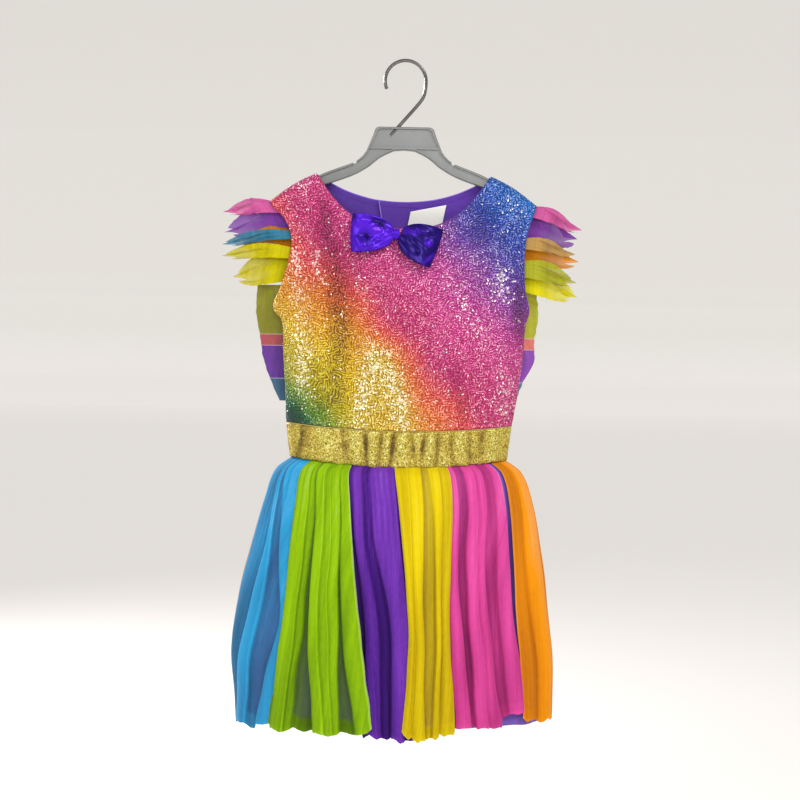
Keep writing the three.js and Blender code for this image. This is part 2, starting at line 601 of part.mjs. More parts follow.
function neckLabel() {
  const surface = (u, v) => {
    const x = LABEL.x + u * LABEL.width * Math.cos(LABEL.tilt) - v * LABEL.height * Math.sin(LABEL.tilt);
    const z = LABEL.z - u * LABEL.width * Math.sin(LABEL.tilt) + v * LABEL.height * Math.cos(LABEL.tilt);
    return new THREE.Vector3(x, clothDepth(x, z) - (KNIT + LABEL.thick) / 2 - 2 * GAP, z);
  };
  return wall(surface, evenly(3, -0.5, 0.5), [-0.5, 0.5], LABEL.thick);
}

piece('neck_label', neckLabel(), WHITE_LABEL);

export default dress;
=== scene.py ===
import math

import bpy
import numpy as np
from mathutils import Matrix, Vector


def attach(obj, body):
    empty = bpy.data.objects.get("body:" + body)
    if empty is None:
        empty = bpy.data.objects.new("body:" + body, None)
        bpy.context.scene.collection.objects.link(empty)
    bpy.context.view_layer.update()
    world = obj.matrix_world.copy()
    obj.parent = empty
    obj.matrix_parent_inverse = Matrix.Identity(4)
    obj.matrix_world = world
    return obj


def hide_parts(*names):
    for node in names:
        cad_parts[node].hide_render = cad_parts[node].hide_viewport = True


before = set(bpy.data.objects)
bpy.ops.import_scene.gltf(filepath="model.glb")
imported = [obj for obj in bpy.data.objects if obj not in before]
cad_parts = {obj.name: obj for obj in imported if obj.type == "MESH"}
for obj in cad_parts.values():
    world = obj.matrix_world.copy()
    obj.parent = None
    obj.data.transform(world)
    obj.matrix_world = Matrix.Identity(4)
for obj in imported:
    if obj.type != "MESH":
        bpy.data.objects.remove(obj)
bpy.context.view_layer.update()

# A child's party dress on a hanger. Tables are in millimetres; meshes are made in metres.
# +Z is up, the front faces -Y, and the origin is the inner top of the hanger's hook.
MM = 0.001
DEPTH = np.array([0.0, 1.0, 0.0])
# The discs' random draws; each ripple has a seed of its own.
luck = np.random.default_rng(7)
# Which way each face looks along y, and where each side lies along x, as the photo shows them.
FACINGS = {"front": -1, "back": 1}
SIDES = {"left": -1, "right": 1}
# How many columns and rows of points each cloth has.
GRIDS = {
    "front": (150, 120), "left": (110, 120), "right": (116, 120), "band": (190, 16),
    "lining": (240, 60), "front_panel": (150, 100), "back_panel": (100, 76), "petal": (56, 26),
    "drape": (44, 24), "loop": (110, 56), "knot": (64, 28), "label": (40, 22),
}


# ---- Tables and curves ----------------------------------------------------------------------


def table(names, rows):
    """Rows of numbers as a dict of named columns."""
    return dict(zip(names.split(), np.array(rows, float).T))


def column(rows, key, name):
    """One column as a smooth function of its key column, whose values rise."""
    xs, ys = rows[key], rows[name]
    before, after = np.r_[0, 0 : len(xs) - 1], np.r_[1 : len(xs), len(xs) - 1]
    slopes = (ys[after] - ys[before]) / (xs[after] - xs[before])

    def at(place):
        place = np.clip(place, xs[0], xs[-1])
        i = np.clip(np.searchsorted(xs, place) - 1, 0, len(xs) - 2)
        span = xs[i + 1] - xs[i]
        t = (place - xs[i]) / span
        start = ys[i] * (1 + 2 * t) * (1 - t) ** 2 + slopes[i] * span * t * (1 - t) ** 2
        end = ys[i + 1] * (3 - 2 * t) * t**2 - slopes[i + 1] * span * (1 - t) * t**2
        return start + end

    return at


def lerp(a, b, t):
    return a + (b - a) * t


def smoothstep(x, low, high):
    t = np.clip((x - low) / (high - low), 0, 1)
    return t * t * (3 - 2 * t)


def seed_of(name):
    """A number from a name, the same in each run."""
    return sum(ord(c) * (k + 1) for k, c in enumerate(name)) % 997


def unit(ways):
    """Directions, brought to a length of 1."""
    return ways / np.maximum(np.linalg.norm(ways, axis=-1, keepdims=True), 1e-9)


def run_of(path):
    """How far along a path each of its points lies."""
    return np.r_[0, np.cumsum(np.linalg.norm(np.diff(path, axis=0), axis=1))]


def ripple(place, seed, waves=5):
    """A smooth uneven wave of about -1 to 1 along a line; place counts its humps."""
    own = np.random.default_rng(seed)
    total = 0
    for _ in range(waves):
        size = own.uniform(0.5, 1)
        total = total + size * np.sin(place * own.uniform(0.5, 1.7) * 2 * np.pi + own.uniform(0, 7))
    return total / waves * 1.4


def creases(x, z, rows):
    """Soft folds: each runs from its top to its foot, a ridge or, if negative, a trough."""
    total = 0
    for top_x, top_z, foot_x, foot_z, width, height in rows:
        length = math.hypot(foot_x - top_x, foot_z - top_z)
        dir_x, dir_z = (foot_x - top_x) / length, (foot_z - top_z) / length
        along = ((x - top_x) * dir_x + (z - top_z) * dir_z) / length
        off = (x - top_x) * dir_z - (z - top_z) * dir_x
        ends = smoothstep(along, -0.15, 0.25) * smoothstep(1 - along, -0.15, 0.25)
        total = total + height * ends * np.exp(-((off / width) ** 2))
    return total


# ---- Meshes ---------------------------------------------------------------------------------


def added(name, data):
    thing = bpy.data.objects.new(name, data)
    bpy.context.scene.collection.objects.link(thing)
    return thing


def made(name, points, faces, materials, attributes=None, which=None, smooth=True):
    """A mesh object from points in mm. attributes: values by name; which: a material per face."""
    mesh = bpy.data.meshes.new(name)
    mesh.from_pydata((np.asarray(points) * MM).tolist(), [], faces)
    for key, values in (attributes or {}).items():
        values = np.asarray(values, np.float32)
        kind = "FLOAT_VECTOR" if values.ndim == 2 else "FLOAT"
        slot = mesh.attributes.new(key, kind, "POINT")
        slot.data.foreach_set("vector" if values.ndim == 2 else "value", values.ravel())
    for material in materials:
        mesh.materials.append(material)
    if which is not None:
        mesh.polygons.foreach_set("material_index", np.asarray(which, np.int32))
    mesh.polygons.foreach_set("use_smooth", np.full(len(mesh.polygons), smooth))
    piece = added(name, mesh)
    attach(piece, "root")
    return piece


def normals_of(grid, ring=False):
    along = np.roll(grid, -1, 0) - np.roll(grid, 1, 0) if ring else np.gradient(grid, axis=0)
    return unit(np.cross(along, np.gradient(grid, axis=1)))


def lengths(grid):
    """How far each point lies across and down the cut cloth, from its first corner."""
    steps = [np.linalg.norm(np.diff(grid, axis=k), axis=2) for k in (0, 1)]
    across = np.pad(np.cumsum(steps[0], 0), ((1, 0), (0, 0)))
    down = np.pad(np.cumsum(steps[1], 1), ((0, 0), (1, 0)))
    return across, down


def cloth(name, grid, materials, thick=0.0, ring=False, layers=None, **extra):
    """A grid of points, columns by rows, as a sheet, or as a closed wall where thick is given."""
    columns, rows = grid.shape[:2]
    across, down = lengths(grid)
    cut = np.stack([across, down, np.zeros_like(across)], 2) * MM
    even = np.ones((columns, rows))
    # Each point carries how dense a sheer is, which on the glitter, the satin and the cloth under
    # the discs is painted light and shade instead, and a shade that is painted light and shade.
    values = {"cut": cut, "layers": even if layers is None else layers, "shade": 0.6 * even}
    values.update(extra)
    across_steps = np.arange(columns if ring else columns - 1)
    i, j = np.meshgrid(across_steps, np.arange(rows - 1), indexing="ij")
    a, b = i * rows + j, (i + 1) % columns * rows + j
    quads = np.stack([a, b, b + 1, a + 1], 2).reshape(-1, 4)
    if not thick:
        flat = {k: v.reshape(columns * rows, *v.shape[2:]) for k, v in values.items()}
        return made(name, grid.reshape(-1, 3), quads.tolist(), materials, flat)
    out = normals_of(grid, ring) * thick / 2
    count = columns * rows
    points = np.concatenate([(grid + out).reshape(-1, 3), (grid - out).reshape(-1, 3)])
    edge = [np.arange(columns) * rows, np.arange(columns) * rows + rows - 1]
    if ring:
        edge = [np.append(e, e[0]) for e in edge]
    else:
        edge += [np.arange(rows), (columns - 1) * rows + np.arange(rows)]
    rims = []
    for turn, line in zip((1, -1, -1, 1), edge):
        rim = np.stack([line[:-1], line[:-1] + count, line[1:] + count, line[1:]], 1)
        rims.append(rim[:, ::turn])
    faces = np.concatenate([quads, quads[:, ::-1] + count, *rims])
    which = np.zeros(len(faces), int)
    which[len(quads) : 2 * len(quads)] = len(materials) - 1
    flat = {k: np.concatenate([v.reshape(count, *v.shape[2:])] * 2) for k, v in values.items()}
    return made(name, points, faces.tolist(), materials, flat, which)


def stand_in(node, kind, slot, grid, material, thick=0.0, **more):
    """A cloth that is shown in place of a CAD node, which it hides, with the finish given; slot is
    not used.
    """
    materials = material if isinstance(material, list) else [material]
    piece = cloth(f"{node}_{kind}", grid, materials, thick, **more)
    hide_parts(node)


def grid_of(surface, us, vs):
    """What a surface gives at each u and v, columns by rows."""
    u, v = np.meshgrid(us, vs, indexing="ij")
    return np.stack(np.broadcast_arrays(*surface(u, v)), 2).astype(float)


def edging(name, path, radius, material, sides=6):
    """A fine round edge along a path of points in mm."""
    ahead = unit(np.gradient(path, axis=0))
    side = unit(np.cross(ahead, DEPTH))
    up = np.cross(side, ahead)
    turn = (np.arange(sides) / sides * 2 * np.pi)[:, None, None]
    grid = path[None] + radius * (np.cos(turn) * side[None] + np.sin(turn) * up[None])
    cloth(name, grid, [material], ring=True)


def stitches(name, paths, material, stitch=2.4, gap=1.0, radius=0.24):
    """Rows of stitches in one mesh: each is a small bar along its path, pointed at the ends."""
    points, faces = [], []
    for path in paths:
        run = run_of(path)
        for start in np.arange(gap, run[-1] - stitch, stitch + gap):
            ends = [start, start + stitch]
            a, b = np.stack([np.interp(ends, run, path[:, k]) for k in range(3)], -1)
            along = unit(b - a)
            side = unit(np.cross(along, DEPTH))
            up = np.cross(side, along)
            first = len(points)
            points += [a, b]
            for middle in (lerp(a, b, 0.2), lerp(a, b, 0.8)):
                points += [middle + radius * way for way in (side, up, -side, -up)]
            for k in range(4):
                near, after = first + 2 + k, first + 2 + (k + 1) % 4
                faces += [[first, after, near], [near, after, after + 4, near + 4]]
                faces.append([first + 1, near + 4, after + 4])
    made(name, points, faces, [material])


# ---- Materials ------------------------------------------------------------------------------


class Paint:
    """One material, with a short way to add nodes to it."""

    def __init__(self, name, sockets):
        self.material = bpy.data.materials.new(name)
        self.material.use_nodes = True
        self.tree = self.material.node_tree
        self.shader = self.tree.nodes["Principled BSDF"]
        for key, value in sockets.items():
            self.put(key, value)

    def set(self, node, key, value):
        socket = node.inputs[key]
        if isinstance(value, bpy.types.NodeSocket):
            self.tree.links.new(value, socket)
        else:
            socket.default_value = value

    def node(self, kind, inputs=None, out=0, **settings):
        node = self.tree.nodes.new("ShaderNode" + kind)
        for key, value in settings.items():
            setattr(node, key, value)
        for key, value in (inputs or {}).items():
            self.set(node, key, value)
        return node.outputs[out]

    def put(self, key, value):
        self.set(self.shader, key, value)

    def maths(self, operation, a, b=0.0, clamp=False):
        return self.node("Math", {0: a, 1: b}, operation=operation, use_clamp=clamp)

    def add(self, a, b, clamp=False):
        return self.maths("ADD", a, b, clamp)

    def times(self, a, b):
        return self.maths("MULTIPLY", a, b)

    def mix(self, share, a, b, blend="MIX"):
        """A colour between a and b, which are sockets or web colours."""
        a, b = (colour(x) if isinstance(x, str) else x for x in (a, b))
        inputs = {0: share, 6: a, 7: b}
        return self.node("Mix", inputs, out=2, data_type="RGBA", blend_type=blend)

    def remap(self, value, low, high, to_low, to_high):
        inputs = {"Value": value, 1: low, 2: high, 3: to_low, 4: to_high}
        return self.node("MapRange", inputs)

    def own(self, name):
        """A number that each point of the mesh carries."""
        return self.node("Attribute", attribute_name=name, out=2)

    def place(self, scale=(1, 1, 1), of="Object"):
        """Places on the piece: its own coordinates in metres, or those of the cut cloth."""
        if of == "cut":
            at = self.node("Attribute", attribute_name="cut", out=1)
        else:
            at = self.tree.nodes.new("ShaderNodeTexCoord").outputs[of]
        return self.node("Mapping", {"Vector": at, "Scale": scale})

    def noise(self, vector, scale, detail=2.0, out=0):
        return self.node("TexNoise", {"Vector": vector, "Scale": scale, "Detail": detail}, out=out)

    def ramp(self, share, stops):
        node = self.tree.nodes.new("ShaderNodeValToRGB")
        bands = node.color_ramp.elements
        for k, (at, shade) in enumerate(stops):
            band = bands[k] if k < 2 else bands.new(at)
            band.position = at
            band.color = colour(shade) if isinstance(shade, str) else shade
        self.set(node, 0, share)
        return node.outputs[0]

    def bump(self, height, distance, strength=1.0):
        inputs = {"Height": height, "Distance": distance, "Strength": strength}
        self.put("Normal", self.node("Bump", inputs))


def colour(code, gain=1.0):
    """A web colour as linear light."""
    parts = [int(code[k : k + 2], 16) / 255 for k in (0, 2, 4)]
    light = [c / 12.92 if c < 0.04045 else ((c + 0.055) / 1.055) ** 2.4 for c in parts]
    return (*[min(1.0, gain * part) for part in light], 1)


# The rainbow runs between two corners of the bodice's front, in bands that bend round each.
RAINBOW_CORNERS = ((-0.1708, 0, -0.4493), (0.1795, 0, -0.1204))
RAINBOW = [
    (0.13, "045850"), (0.163, "0c7444"), (0.191, "70a01c"), (0.225, "ccc414"),
    (0.29, "f0d014"), (0.36, "f0a81a"), (0.40, "ee7a2c"), (0.435, "e8544e"),
    (0.48, "d03078"), (0.56, "dc4498"), (0.62, "cc44a4"), (0.68, "9844b0"),
    (0.73, "6444b4"), (0.79, "2448b8"), (0.845, "0e64cc"), (0.92, "0484dc"),
]
RAINBOW_DRIFT = 0.09
GOLDEN, GOLDEN_SHARE = "d8c02c", 0.9


def rainbow(paint):
    at = paint.place((1, 0, 1))
    near, far = (
        paint.node("VectorMath", {0: at, 1: corner}, out=1, operation="DISTANCE")
        for corner in RAINBOW_CORNERS
    )
    share = paint.maths("DIVIDE", near, paint.add(near, far))
    drift = paint.maths("MULTIPLY_ADD", paint.noise(at, 14.0), RAINBOW_DRIFT)
    drift.node.inputs[2].default_value = -RAINBOW_DRIFT / 2
    bands = paint.ramp(paint.add(share, drift), RAINBOW)
    return paint.mix(paint.times(paint.own("gold"), GOLDEN_SHARE), bands, GOLDEN)


def knit_bump(paint, pitch, depth, of="cut"):
    """A fine knit: rows of loops, pitch apart in metres."""
    at = paint.place((1 / pitch, 1 / pitch, 1 / pitch), of)
    wave = {"Vector": at, "Scale": 0.5}
    loops = paint.node("TexWave", {**wave, "Distortion": 1.2, "Detail": 1.0}, out=1)
    rows = paint.node("TexWave", wave, out=1, bands_direction="Y")
    paint.bump(paint.add(loops, rows), depth)


def sequin_base():
    """The knit under the sequins: the same rainbow, darker, with the discs' shadows painted on it,
    and painted shade where the front's shade patches lie.
    """
    paint = Paint("sequin_base", {"Roughness": 0.7, "Sheen Weight": 0.15, "Sheen Roughness": 0.4})
    patches = paint.noise(paint.place(), 420.0, 3.0)
    shadows = paint.ramp(patches, [(0.38, "c48c98"), (0.62, "fcf0f0")])
    lit = paint.mix(0.85, rainbow(paint), shadows, "MULTIPLY")
    # Painted shade: where its number is low, in the shade patches, the cloth is darkened.
    paint.put("Base Color", paint.mix(paint.own("layers"), paint.mix(0.72, lit, "301008"), lit))
    knit_bump(paint, 0.0011, 0.0004, "Object")
    return paint.material


def sequin_foil():
    """Foil discs: tone is each disc's number, from 0, deep, to 1, pale; it holds a random tone of
    the disc's own, painted shade, and painted glints near white.
    """
    sockets = {"Metallic": 0.45, "Coat Weight": 0.25, "Coat Roughness": 0.08}
    paint = Paint("sequin_foil", sockets)
    tone = paint.own("tone")
    deep = paint.mix(paint.remap(tone, 0.0, 0.5, 0.5, 0.0), rainbow(paint), "2c0c18")
    paint.put("Base Color", paint.mix(paint.remap(tone, 0.35, 1.0, 0.0, 0.66), deep, "fff6ec"))
    paint.put("Roughness", paint.remap(tone, 0.0, 1.0, 0.42, 0.2))
    return paint.material


def glitter():
    """Glitter elastic: each point carries a number for its painted light and shade, mostly from how
    far it stands out.
    """
    paint = Paint("gold_glitter", {"Metallic": 0.45, "Specular IOR Level": 0.7})
    at = paint.place()
    coarse, fleck = (
        paint.node("TexVoronoi", {"Vector": at, "Scale": scale}, out=1) for scale in (720.0, 1500.0)
    )
    spark = paint.times(paint.add(coarse, fleck), 0.5)
    golds = [(0.16, "5c4c04"), (0.38, "b09a2c"), (0.58, "dccc4c"), (0.8, "fffcc0")]
    # Random patches, lighter or darker, added to the painted light and shade.
    uneven_patches = paint.remap(paint.noise(at, 55.0, 3.0), 0.3, 0.7, -0.22, 0.22)
    light = paint.add(paint.own("layers"), uneven_patches)
    shade = paint.ramp(light, [(0.0, "7c6828"), (0.5, "ece0b8"), (1.0, "ffffff")])
    paint.put("Base Color", paint.mix(1.0, paint.ramp(spark, golds), shade, "MULTIPLY"))
    paint.put("Roughness", paint.remap(coarse, 0.0, 1.0, 0.22, 0.57))
    paint.bump(spark, 0.0007)
    return paint.material


def purple_knit():
    """Plain knit: shade is how far each point stands out of the folds."""
    sockets = {"Roughness": 0.82, "Sheen Weight": 0.25, "Sheen Roughness": 0.5}
    paint = Paint("purple_knit", sockets)
    clouds, fleck = paint.noise(paint.place(), 45.0, 4.0), paint.noise(paint.place(), 900.0, 2.0)
    body = paint.mix(paint.mix(0.6, clouds, paint.own("shade")), "300a7c", "7636d6")
    paint.put("Base Color", paint.mix(paint.times(fleck, 0.25), body, "8a5cd8"))
    knit_bump(paint, 0.0014, 0.0003)
    return paint.material


def satin(name, deep, bright, roughness, coat, metallic):
    """Satin: a smooth bright face with a soft slub. Each point carries how much painted light it
    has, and is painted darker where it has less.
    """
    sockets = {"Roughness": roughness, "Specular IOR Level": 0.2}
    paint = Paint(name, {**sockets, "Coat Weight": coat, "Metallic": metallic})
    slub = paint.noise(paint.place((900, 60, 1), "cut"), 1.0, 3.0)
    body = paint.mix(paint.mix(0.75, slub, paint.noise(paint.place(), 60.0, 3.0)), deep, bright)
    paint.put("Base Color", paint.mix(paint.own("layers"), colour(deep, 0.3), body))
    paint.bump(slub, 0.00003)
    return paint.material


def chiffon(name, light, deep, single=0.42):
    """A sheer weave. layers is 1 where the strip is folded on itself and 0 where it is single."""
    sockets = {"Roughness": 0.75, "Specular IOR Level": 0.12, "Sheen Weight": 0.06}
    paint = Paint(name, {**sockets, "Sheen Roughness": 0.4})
    kinds = ((75, 4, 3.0), (640, 5, 2.0), (240, 120, 4.0), (2600, 2600, 1.0))
    streaks, hairs, crinkle, weave = (
        paint.noise(paint.place((across, along, 1), "cut"), 1.0, detail)
        for across, along, detail in kinds
    )
    grain = paint.add(paint.times(streaks, 0.32), paint.times(crinkle, 0.1))
    grain = paint.add(grain, paint.times(hairs, 0.18))
    # shade is painted light and shade: the ramp runs from painted shade, darker than deep, to a
    # painted highlight, paler than light.
    pale = tuple(lerp(part, 1, 0.14) for part in colour(light))
    stops = [(0.24, colour(deep, 0.42)), (0.5, deep), (0.76, light), (1.0, pale)]
    tone = paint.add(grain, paint.times(paint.own("shade"), 0.7))
    paint.put("Base Color", paint.ramp(tone, stops))
    threads = paint.add(paint.times(weave, 0.1), paint.times(hairs, 0.16))
    cover = paint.remap(paint.own("layers"), 0.0, 1.0, single - 0.13, 0.93)
    paint.put("Alpha", paint.add(cover, threads, clamp=True))
    paint.bump(crinkle, 0.0006, 0.6)
    return paint.material


def plain(name, light, deep, roughness, metallic=0.0, grain=80.0):
    """Moulded plastic, steel, thread or plain cloth, a little uneven in colour and gloss."""
    paint = Paint(name, {"Metallic": metallic})
    clouds = paint.noise(paint.place(), grain, 4.0)
    paint.put("Base Color", paint.mix(clouds, deep, light))
    paint.put("Roughness", paint.remap(clouds, 0.0, 1.0, roughness * 0.75, roughness * 1.3))
    paint.bump(paint.noise(paint.place(), 1400.0, 2.0), 0.00004)
    return paint.material


SHEERS = {
    "blue": ("2c98cc", "2a74a2"), "green": ("8cb800", "5c8000"), "purple": ("7034ac", "3a1070"),
    "yellow": ("dcc400", "b09600"), "pink": ("d64898", "a82c70"), "orange": ("e68e00", "c06e00"),
    "lime": ("b0b02c", "7c7a18"), "coral": ("d87468", "a44850"), "teal": ("54809c", "38607c"),
    "mauve": ("8c48ac", "5c2c8c"), "magenta": ("d0609c", "983c78"), "sky": ("4890b0", "24647c"),
    "beige": ("c09444", "80705c"), "tangerine": ("e89410", "b46c04"), "lemon": ("dcd408", "a89c00"),
}
sheers = {key: chiffon(f"sheer_{key}", *pair) for key, pair in SHEERS.items()}
knit = purple_knit()
gold = glitter()
lining_satin = satin("lining_satin", "5a3a9c", "8260c4", 0.42, 0.1, 0.0)
bow_satin = satin("bow_satin", "3408a8", "6422e6", 0.27, 0.0, 0.4)
gold_thread = plain("gold_thread", "d8c880", "a08838", 0.6)
purple_thread = plain("purple_thread", "6c3cc0", "44188c", 0.7)
# The edge cords are painted paler than the knit, a painted highlight along the back's neck and lap.
purple_edge_highlight = plain("purple_edge_highlight", "a888e8", "7c54cc", 0.7)
label_cloth = plain("label_cloth", "f6f5f0", "e6e4de", 0.75, grain=500.0)
base_cloth = sequin_base()

hanger_plastic = plain("hanger_plastic", "7c7e7c", "686a6a", 0.32, grain=30.0)
hook_steel = plain("hook_steel", "8a8884", "4c4a48", 0.26, metallic=0.9, grain=60.0)
for node, material in (("hanger_body", hanger_plastic), ("hanger_hook", hook_steel)):
    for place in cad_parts[node].material_slots:
        place.material = material


# ---- Bodice ---------------------------------------------------------------------------------

# The neck's point on the shoulder, with its share of the panel's half width; the shoulder's tip;
# each neckline's lowest point and how round it is; how the cloth rolls over the hanger; its wall,
# and how far it stands from the seam plane at a seam.
NECK_POINT = (100, -130, 0.68)
SHOULDER_TIP = (153, -163)
FRONT_NECK, BACK_NECK = (-193, 2.7), (-160, 2.2)
ROLL, KNIT, AT_SEAM = 6.4, 1.2, 0.25
SHOULDER = table("x z", [(0, -96), (60, -112), (100, -130), (126, -143), (153, -163)])
BODICE = table(
    "z left right depth edge round",
    [
        (-466, 123, 123, 34, 0.25, 0.5), (-416, 129, 129, 33, 0.25, 0.5),
        (-380, 131, 135, 31, 0.25, 0.5), (-340, 134, 140, 30, 0.25, 0.5),
        (-299, 137, 143, 27, 0.25, 0.5), (-284, 147, 147, 26, 0.25, 0.55),
        (-262, 139, 142, 24, 4.6, 0.8), (-235, 131, 140, 21, 6.4, 1), (-206, 127, 141, 17.5, 7, 1),
        (-184, 135, 146, 13, 6.8, 1), (-163, 153, 153, 8.5, 6.4, 1), (-130, 153, 153, 7, 6.4, 1),
    ],
)
shoulder_line = column(SHOULDER, "x", "z")
half_left, half_right, middle_depth, edge_depth, rounding = (
    column(BODICE, "z", key) for key in ("left", "right", "depth", "edge", "round")
)
# The waistband's top and foot at the sides, and how far each sags in the middle.
WAIST_SEAM, WAIST_SAG, WAIST_FOOT, FOOT_SAG = -416, 8, -455, 10

# Top and foot of each fold of the front, its half width and its height.
FRONT_FOLDS = [
    (-92, -225, -100, -400, 15, 3.2), (-72, -195, -52, -412, 13, -2.6),
    (96, -240, 108, -400, 17, 2.2),
]
FRONT_CREASES = [
    (-118, -262, -84, -330, 7, 1.3), (-124, -300, -96, -352, 6, -1.1),
    (-110, -190, -96, -262, 8, -1.4), (-60, -260, -66, -392, 8, 1.2), (-24, -300, -34, -418, 10, 1),
    (4, -262, -6, -414, 9, -0.9), (40, -290, 52, -416, 11, 1.1), (78, -300, 84, -412, 9, -1.2),
    (128, -300, 100, -352, 8, 1.2), (122, -225, 106, -300, 9, -1.3), (104, -178, 92, -240, 10, 1.1),
    (-30, -205, -48, -262, 9, 0.9),
]
BACK_CREASES = [
    (-112, -250, -84, -352, 9, 3), (-88, -180, -76, -268, 8, -2.8), (-60, -300, -64, -414, 7, 3.2),
    (104, -240, 92, -360, 9, 3), (66, -190, 58, -300, 8, -2.8), (40, -320, 44, -416, 7, 2.8),
    (14, -250, 20, -400, 7, -2.2), (126, -300, 98, -362, 6, -2), (-128, -296, -104, -380, 6, -2),
    (-30, -340, -26, -416, 6, 2.4), (78, -340, 84, -416, 6, 2.4), (-96, -350, -102, -416, 6, 2.2),
    (2, -176, -8, -236, 9, 1.8),
]


def half_width(x, z):
    return np.where(x < 0, half_left(z), half_right(z))


def cloth_depth(x, z):
    """How far the cloth stands from the seam plane, over the hanger's arm and down the panel."""
    across = np.clip(np.abs(x) / half_width(x, z), 0, 1)
    edge = np.maximum(edge_depth(z), AT_SEAM)
    full = edge + (middle_depth(z) - edge) * (1 - across**2) ** rounding(z)
    below = np.clip((shoulder_line(np.abs(x)) - z) / ROLL, 0, 1)
    return np.maximum(full * np.sqrt(1 - (1 - below) ** 2), AT_SEAM)


def front_fold(x, z):
    total = 0
    for top_x, top_z, foot_x, foot_z, width, height in FRONT_FOLDS:
        along = np.clip((top_z - z) / (top_z - foot_z), 0, 1)
        off = (x - lerp(top_x, foot_x, along)) / width
        ends = smoothstep(top_z - z, -20, 40) * smoothstep(z - foot_z, -20, 40)
        total = total + height * ends * np.exp(-(off**2))
    return total


def inside_edges(x, z):
    """1 on the panel and falling to 0 at its side edges, where the seams hold it."""
    return smoothstep(1 - np.abs(x) / half_width(x, z), 0, 0.12)


def front_depth(x, z):
    folds = front_fold(x, z) + creases(x, z, FRONT_CREASES)
    return cloth_depth(x, z) + folds * inside_edges(x, z)


def neckline(x, neck):
    low, power = neck
    return lerp(low, NECK_POINT[1], (np.abs(x) / NECK_POINT[0]) ** power)


def bodice_outline(neck, u, v):
    """The panel's outline filled in: u across from -1 to 1, v from the waist to the shoulder."""
    part = np.abs(u) / NECK_POINT[2]
    past = np.clip((np.abs(u) - NECK_POINT[2]) / (1 - NECK_POINT[2]), 0, 1)
    on_shoulder = part > 1
    top_x = np.where(on_shoulder, lerp(NECK_POINT[0], SHOULDER_TIP[0], past), NECK_POINT[0] * part)
    neck_z = neckline(np.minimum(top_x, NECK_POINT[0]), neck)
    top_z = np.where(on_shoulder, shoulder_line(top_x), neck_z)
    foot_z = WAIST_SEAM - WAIST_SAG * (1 - u**2)
    foot_x = half_width(u, WAIST_SEAM)
    edge_x = half_width(u, lerp(WAIST_SEAM, SHOULDER_TIP[1], v)) - lerp(foot_x, SHOULDER_TIP[0], v)
    x = lerp(np.abs(u) * foot_x, top_x, v) + np.abs(u) * edge_x
    return np.where(u < 0, -x, x), lerp(foot_z, top_z, v)


def front_surface(u, v):
    x, z = bodice_outline(FRONT_NECK, u, v)
    return x, -front_depth(x, z), z


# The back's turned neck hem, the two edges of its lap as shares of its half width, and how far
# the upper half is lifted, over what stretch of x.
HEM_STEP = 1.0
LAP_EDGE, LAP_UNDER = 0.02, -0.19
LAP_LIFT, LAP_FROM, LAP_TO = 2.1, -46, -31


def back_folds(x, z):
    return creases(x, z, BACK_CREASES) * inside_edges(x, z)


def back_surface(u, v, lift=0.0):
    x, z = bodice_outline(BACK_NECK, u, v)
    folds = back_folds(x, z)
    hem = HEM_STEP * smoothstep(v, 0.974, 0.98) * smoothstep(NECK_POINT[0] - np.abs(x), 2, 8)
    return x, cloth_depth(x, z) + folds - hem + lift * smoothstep(x, LAP_FROM, LAP_TO), z


def fine(count, low=-1.0, high=1.0, ease=0.0):
    """Even steps from low to high, closer at both ends where ease is given."""
    t = np.linspace(0, 1, count)
    return lerp(low, high, t - ease * np.sin(2 * np.pi * t) / (2 * np.pi))


# Painted light on the front, as bands, each from its top to its foot, with its half width and how
# strong it is: first where the discs are painted pale as glints and flash larger, then where they
# and the cloth under them are painted dark as shade.
PAINTED_GLINT_PATCHES = [
    (-128, -205, -112, -290, 9, 0.7), (-116, -290, -106, -392, 11, 0.9),
    (-28, -324, -46, -420, 10, 1), (-22, -334, 12, -424, 12, 1), (-100, -220, -88, -262, 6, 0.9),
    (108, -236, 122, -276, 14, 0.9), (118, -350, 124, -412, 10, 0.8),
    (-124, -136, -108, -158, 12, 0.5), (60, -250, 96, -330, 10, 0.4),
    (120, -150, 136, -180, 12, 0.3),
]
# Painted shade: the discs and the cloth under them are darker here.
PAINTED_SHADE_PATCHES = [
    (-94, -158, -74, -250, 11, 0.9), (-78, -240, -66, -330, 15, 1), (-68, -320, -74, -408, 14, 0.9),
    (-100, -340, -92, -404, 8, 0.5), (134, -240, 136, -320, 10, 1), (96, -160, 84, -215, 12, 0.5),
    (-124, -396, -112, -420, 12, 0.8), (58, -340, 76, -414, 9, 0.4),
]
# Where the rainbow's gold reaches up between its bands.
GOLD_PATCHES = [
    (-27, -326, -46, -430, 13, 0.9), (-21, -334, 10, -430, 15, 0.9),
    (-24, -360, -16, -430, 18, 0.6),
]


def patch_share(x, z, patches):
    """How far each point is in one of the patches, from 0 to 1."""
    return np.clip(creases(x, z, patches), 0, 1)


rows_up = 1 - (1 - np.linspace(0, 1, GRIDS["front"][1])) ** 1.25
grid = grid_of(front_surface, fine(GRIDS["front"][0], ease=0.5), rows_up)
x, z = grid[:, :, 0], grid[:, :, 2]
# The cloth under the discs carries painted shade, darker where the shade patches lie, and the gold.
painted_shade, golden = (patch_share(x, z, rows) for rows in (PAINTED_SHADE_PATCHES, GOLD_PATCHES))
faces = [base_cloth, knit]
stand_in("bodice_front", "cloth", "sequin_cloth", grid, faces, KNIT, layers=1 - painted_shade, gold=golden)


def upper_back(u, v):
    return back_surface(u, v, LAP_LIFT)


